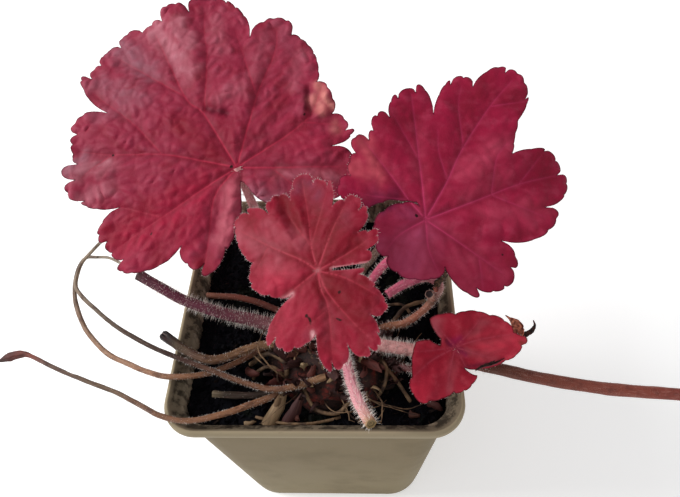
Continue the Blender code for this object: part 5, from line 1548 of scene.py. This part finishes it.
def makeRootlets(look, strands, draw):       # thin dry roots and fibres that curl over the soil
    centre, half = np.array(look["centre"]), np.array(look["half"])
    points, edges, thick = [], [], []
    for route, radius in look["loops"]:
        for step, place in enumerate(evenly(smoothRoute(route, 8), 0.8)):
            points.append(place)
            thick.append(radius * draw.uniform(0.9, 1.12))
            if step:
                edges.append((len(points) - 2, len(points) - 1))
    for _ in range(look["rootlets"]):
        turn = draw.uniform(0, math.tau)
        start = centre + half * (0.8 * math.cos(turn), 0.8 * math.sin(turn), draw.uniform(0.0, 0.5))
        heading = turn + draw.uniform(-0.8, 0.8)
        bend = draw.uniform(-0.16, 0.16)
        radius = draw.uniform(*look["rootletRadius"])
        count = draw.randrange(9, 22)
        place = start
        climb = draw.uniform(0.0, 0.9)
        for step in range(count):
            points.append(place)
            thick.append(radius * (1 - 0.6 * step / count))
            if step:
                edges.append((len(points) - 2, len(points) - 1))
            heading += bend + draw.uniform(-0.25, 0.25)
            rise = climb * (1 - 2 * step / count) + draw.uniform(-0.2, 0.2)
            place = place + look["rootletStep"] * np.array((math.cos(heading), math.sin(heading), rise))
            place[2] = max(place[2], soilLook["top"] + 0.6 + radius)
            place[:2] = np.clip(place[:2], -look["soilEdge"], look["soilEdge"])
    mesh = bpy.data.meshes.new("rootlets")
    mesh.from_pydata((np.array(points) * mm).tolist(), edges, [])
    mesh.attributes.new("thick", "FLOAT", "POINT").data.foreach_set("value", np.array(thick, np.float32))
    host = bpy.data.objects.new("rootlet_paths", mesh)
    bpy.context.scene.collection.objects.link(host)
    roots = grow(strands, host, "rootlets", {"Sides": 6, "Material": rootFinish(look)})
    bpy.data.objects.remove(host)
    settle(roots, (), None, 80)


def barkFinish(look):
    paint = Finish("rootstock bark", {"Specular IOR Level": 0.3})
    place = paint.place()
    flake = paint.cloud(paint.stretch(place, (0.6, 0.6, 1.6)), 1.6, 5, 0.65)
    patch = paint.cloud(place, 6, 3)
    colour = paint.coat(tint(*look["bark"]), look["barkDeep"], flake.between(0.42, 0.62))
    colour = paint.coat(colour, look["barkRust"], patch.between(0.5, 0.68) * flake.between(0.4, 0.6) * 0.8)
    colour = paint.coat(colour, look["barkPale"], paint.cloud(place, 1.1, 4, 0.7).between(0.6, 0.7) * 0.6)
    return paint.close(colour, 0.75 + patch * 0.2, flake * 1.2, 0.5)


def scaleFinish(look):
    paint = Finish("papery scales", {"Specular IOR Level": 0.35})
    skin = paint.skin()
    vein = paint.cloud(paint.stretch(skin, (2.2, 0.25, 1)), 0.9, 4, 0.6)
    colour = paint.ramp(paint.mark("hue"), [(place, tint(*shade)) for place, shade in look["scaleColours"]])
    colour = paint.coat(colour, look["scaleDeep"], vein.between(0.45, 0.75) * 0.6)
    colour = paint.coat(colour, look["scalePale"], (1 - vein.between(0.25, 0.42)) * 0.3)
    return paint.close(colour, 0.6 + vein * 0.2, vein, 0.15)


def rootFinish(look):
    paint = Finish("dry roots", {"Specular IOR Level": 0.3})
    place = paint.place()
    tone = paint.cloud(place, 4, 3)
    grain = paint.cloud(place, 0.4, 3)
    colour = paint.coat(tint(*look["rootDark"]), look["rootPale"], tone.between(0.36, 0.62))
    colour = paint.coat(colour, look["rootGrain"], grain.between(0.5, 0.75) * 0.5)
    return paint.close(colour, 0.7 + tone * 0.15, grain, 0.1)


# Camera, floor and light
viewPoint = {"place": (18.7, -98.3, 261.1), "yaw": -5.6, "down": 53.3, "roll": -5.4, "lens": 30.02}
# lamps: place, width and power, in metres like the floor and the aim; glow: the floor's own light
studio = {"floor": (0.92, 0.92, 0.92), "floorHalf": 3, "glow": 0.32, "sky": 0.46, "aim": (0, 0, 0.12),
          "lamps": [((-0.85, 0.12, 0.72), 0.5, 10.5), ((0.55, -0.6, 0.8), 0.8, 1.8)]}


def addCamera(spec):
    yaw, down, roll = (math.radians(spec[key]) for key in ("yaw", "down", "roll"))
    ahead = Vector((math.sin(yaw) * math.cos(down), math.cos(yaw) * math.cos(down), -math.sin(down)))
    level = Vector((math.cos(yaw), -math.sin(yaw), 0))
    upright = level.cross(ahead)
    right = level * math.cos(roll) + upright * math.sin(roll)
    above = upright * math.cos(roll) - level * math.sin(roll)
    data = bpy.data.cameras.new("camera")
    data.lens = spec["lens"]
    data.sensor_width = 36
    data.clip_start = 0.01
    camera = bpy.data.objects.new("camera", data)
    camera.matrix_world = Matrix.Translation(Vector(spec["place"]) * mm) @ \
        Matrix((right, above, -ahead)).transposed().to_4x4()
    bpy.context.scene.collection.objects.link(camera)
    bpy.context.scene.camera = camera


def addStudio(spec):
    mesh = bpy.data.meshes.new("floor")
    half = spec["floorHalf"]
    corners = [(-half, -half, 0), (half, -half, 0), (half, half, 0), (-half, half, 0)]
    mesh.from_pydata(corners, [], [(0, 1, 2, 3)])
    floor = bpy.data.objects.new("floor", mesh)
    bpy.context.scene.collection.objects.link(floor)
    paint = Finish("pale floor", {"Base Color": (*spec["floor"], 1), "Roughness": 0.9,
                                  "Specular IOR Level": 0.0, "Emission Color": (1, 1, 1, 1),
                                  "Emission Strength": spec["glow"]})
    mesh.materials.append(paint.material)
    world = bpy.data.worlds.new("sky")
    world.use_nodes = True
    sky = world.node_tree.nodes["Background"]
    sky.inputs["Color"].default_value = (1, 1, 1, 1)
    sky.inputs["Strength"].default_value = spec["sky"]
    bpy.context.scene.world = world
    for number, (place, size, power) in enumerate(spec["lamps"]):
        data = bpy.data.lights.new("lamp", "AREA")
        data.size = size
        data.energy = power
        lamp = bpy.data.objects.new("lamp" + str(number), data)
        lamp.location = place
        lamp.rotation_euler = (Vector(spec["aim"]) - lamp.location).to_track_quat("-Z", "Y").to_euler()
        bpy.context.scene.collection.objects.link(lamp)
    bpy.context.scene.view_settings.view_transform = "Standard"


addCamera(viewPoint)
addStudio(studio)
print("camera, floor and light are up")
hairTree = hairRecipe()
crumbTree = crumbRecipe()
strandTree = strandRecipe()
makePot(potLook)
makeSoil(soilLook, crumbTree)
print("pot and soil are in")
coatings = {kind: {**look, "Material": hairFinish(kind, look["root"], look["tip"])}
            for kind, look in hairLook.items()}
for stemName, stem in stemLook.items():
    makeStem(stemName, stem, hairTree, coatings)
for stemName, stem in stalkLook.items():
    leafSpec = leafLook[stem["leaf"]]
    under = leafSpec["thick"] + 0.65 * leafSpec["quilt"] + 0.75       # how far the sunk middle lies under
    seat = np.array(leafSpec["centre"]) - reliefWay * under
    makeStem(stemName, {**stem, "route": stem["route"] + [tuple(seat)]}, hairTree, coatings)
print("stems are up")
makeCrown(crownLook, strandTree)
print("crown is in")
for leafName, leafSpec in leafLook.items():
    makeLeaf(leafName, leafSpec, hairTree, coatings["margin hairs"])
for scrapName, scrap in scrapLook.items():
    makeScrap(scrapName, scrap)
print("leaves are on")
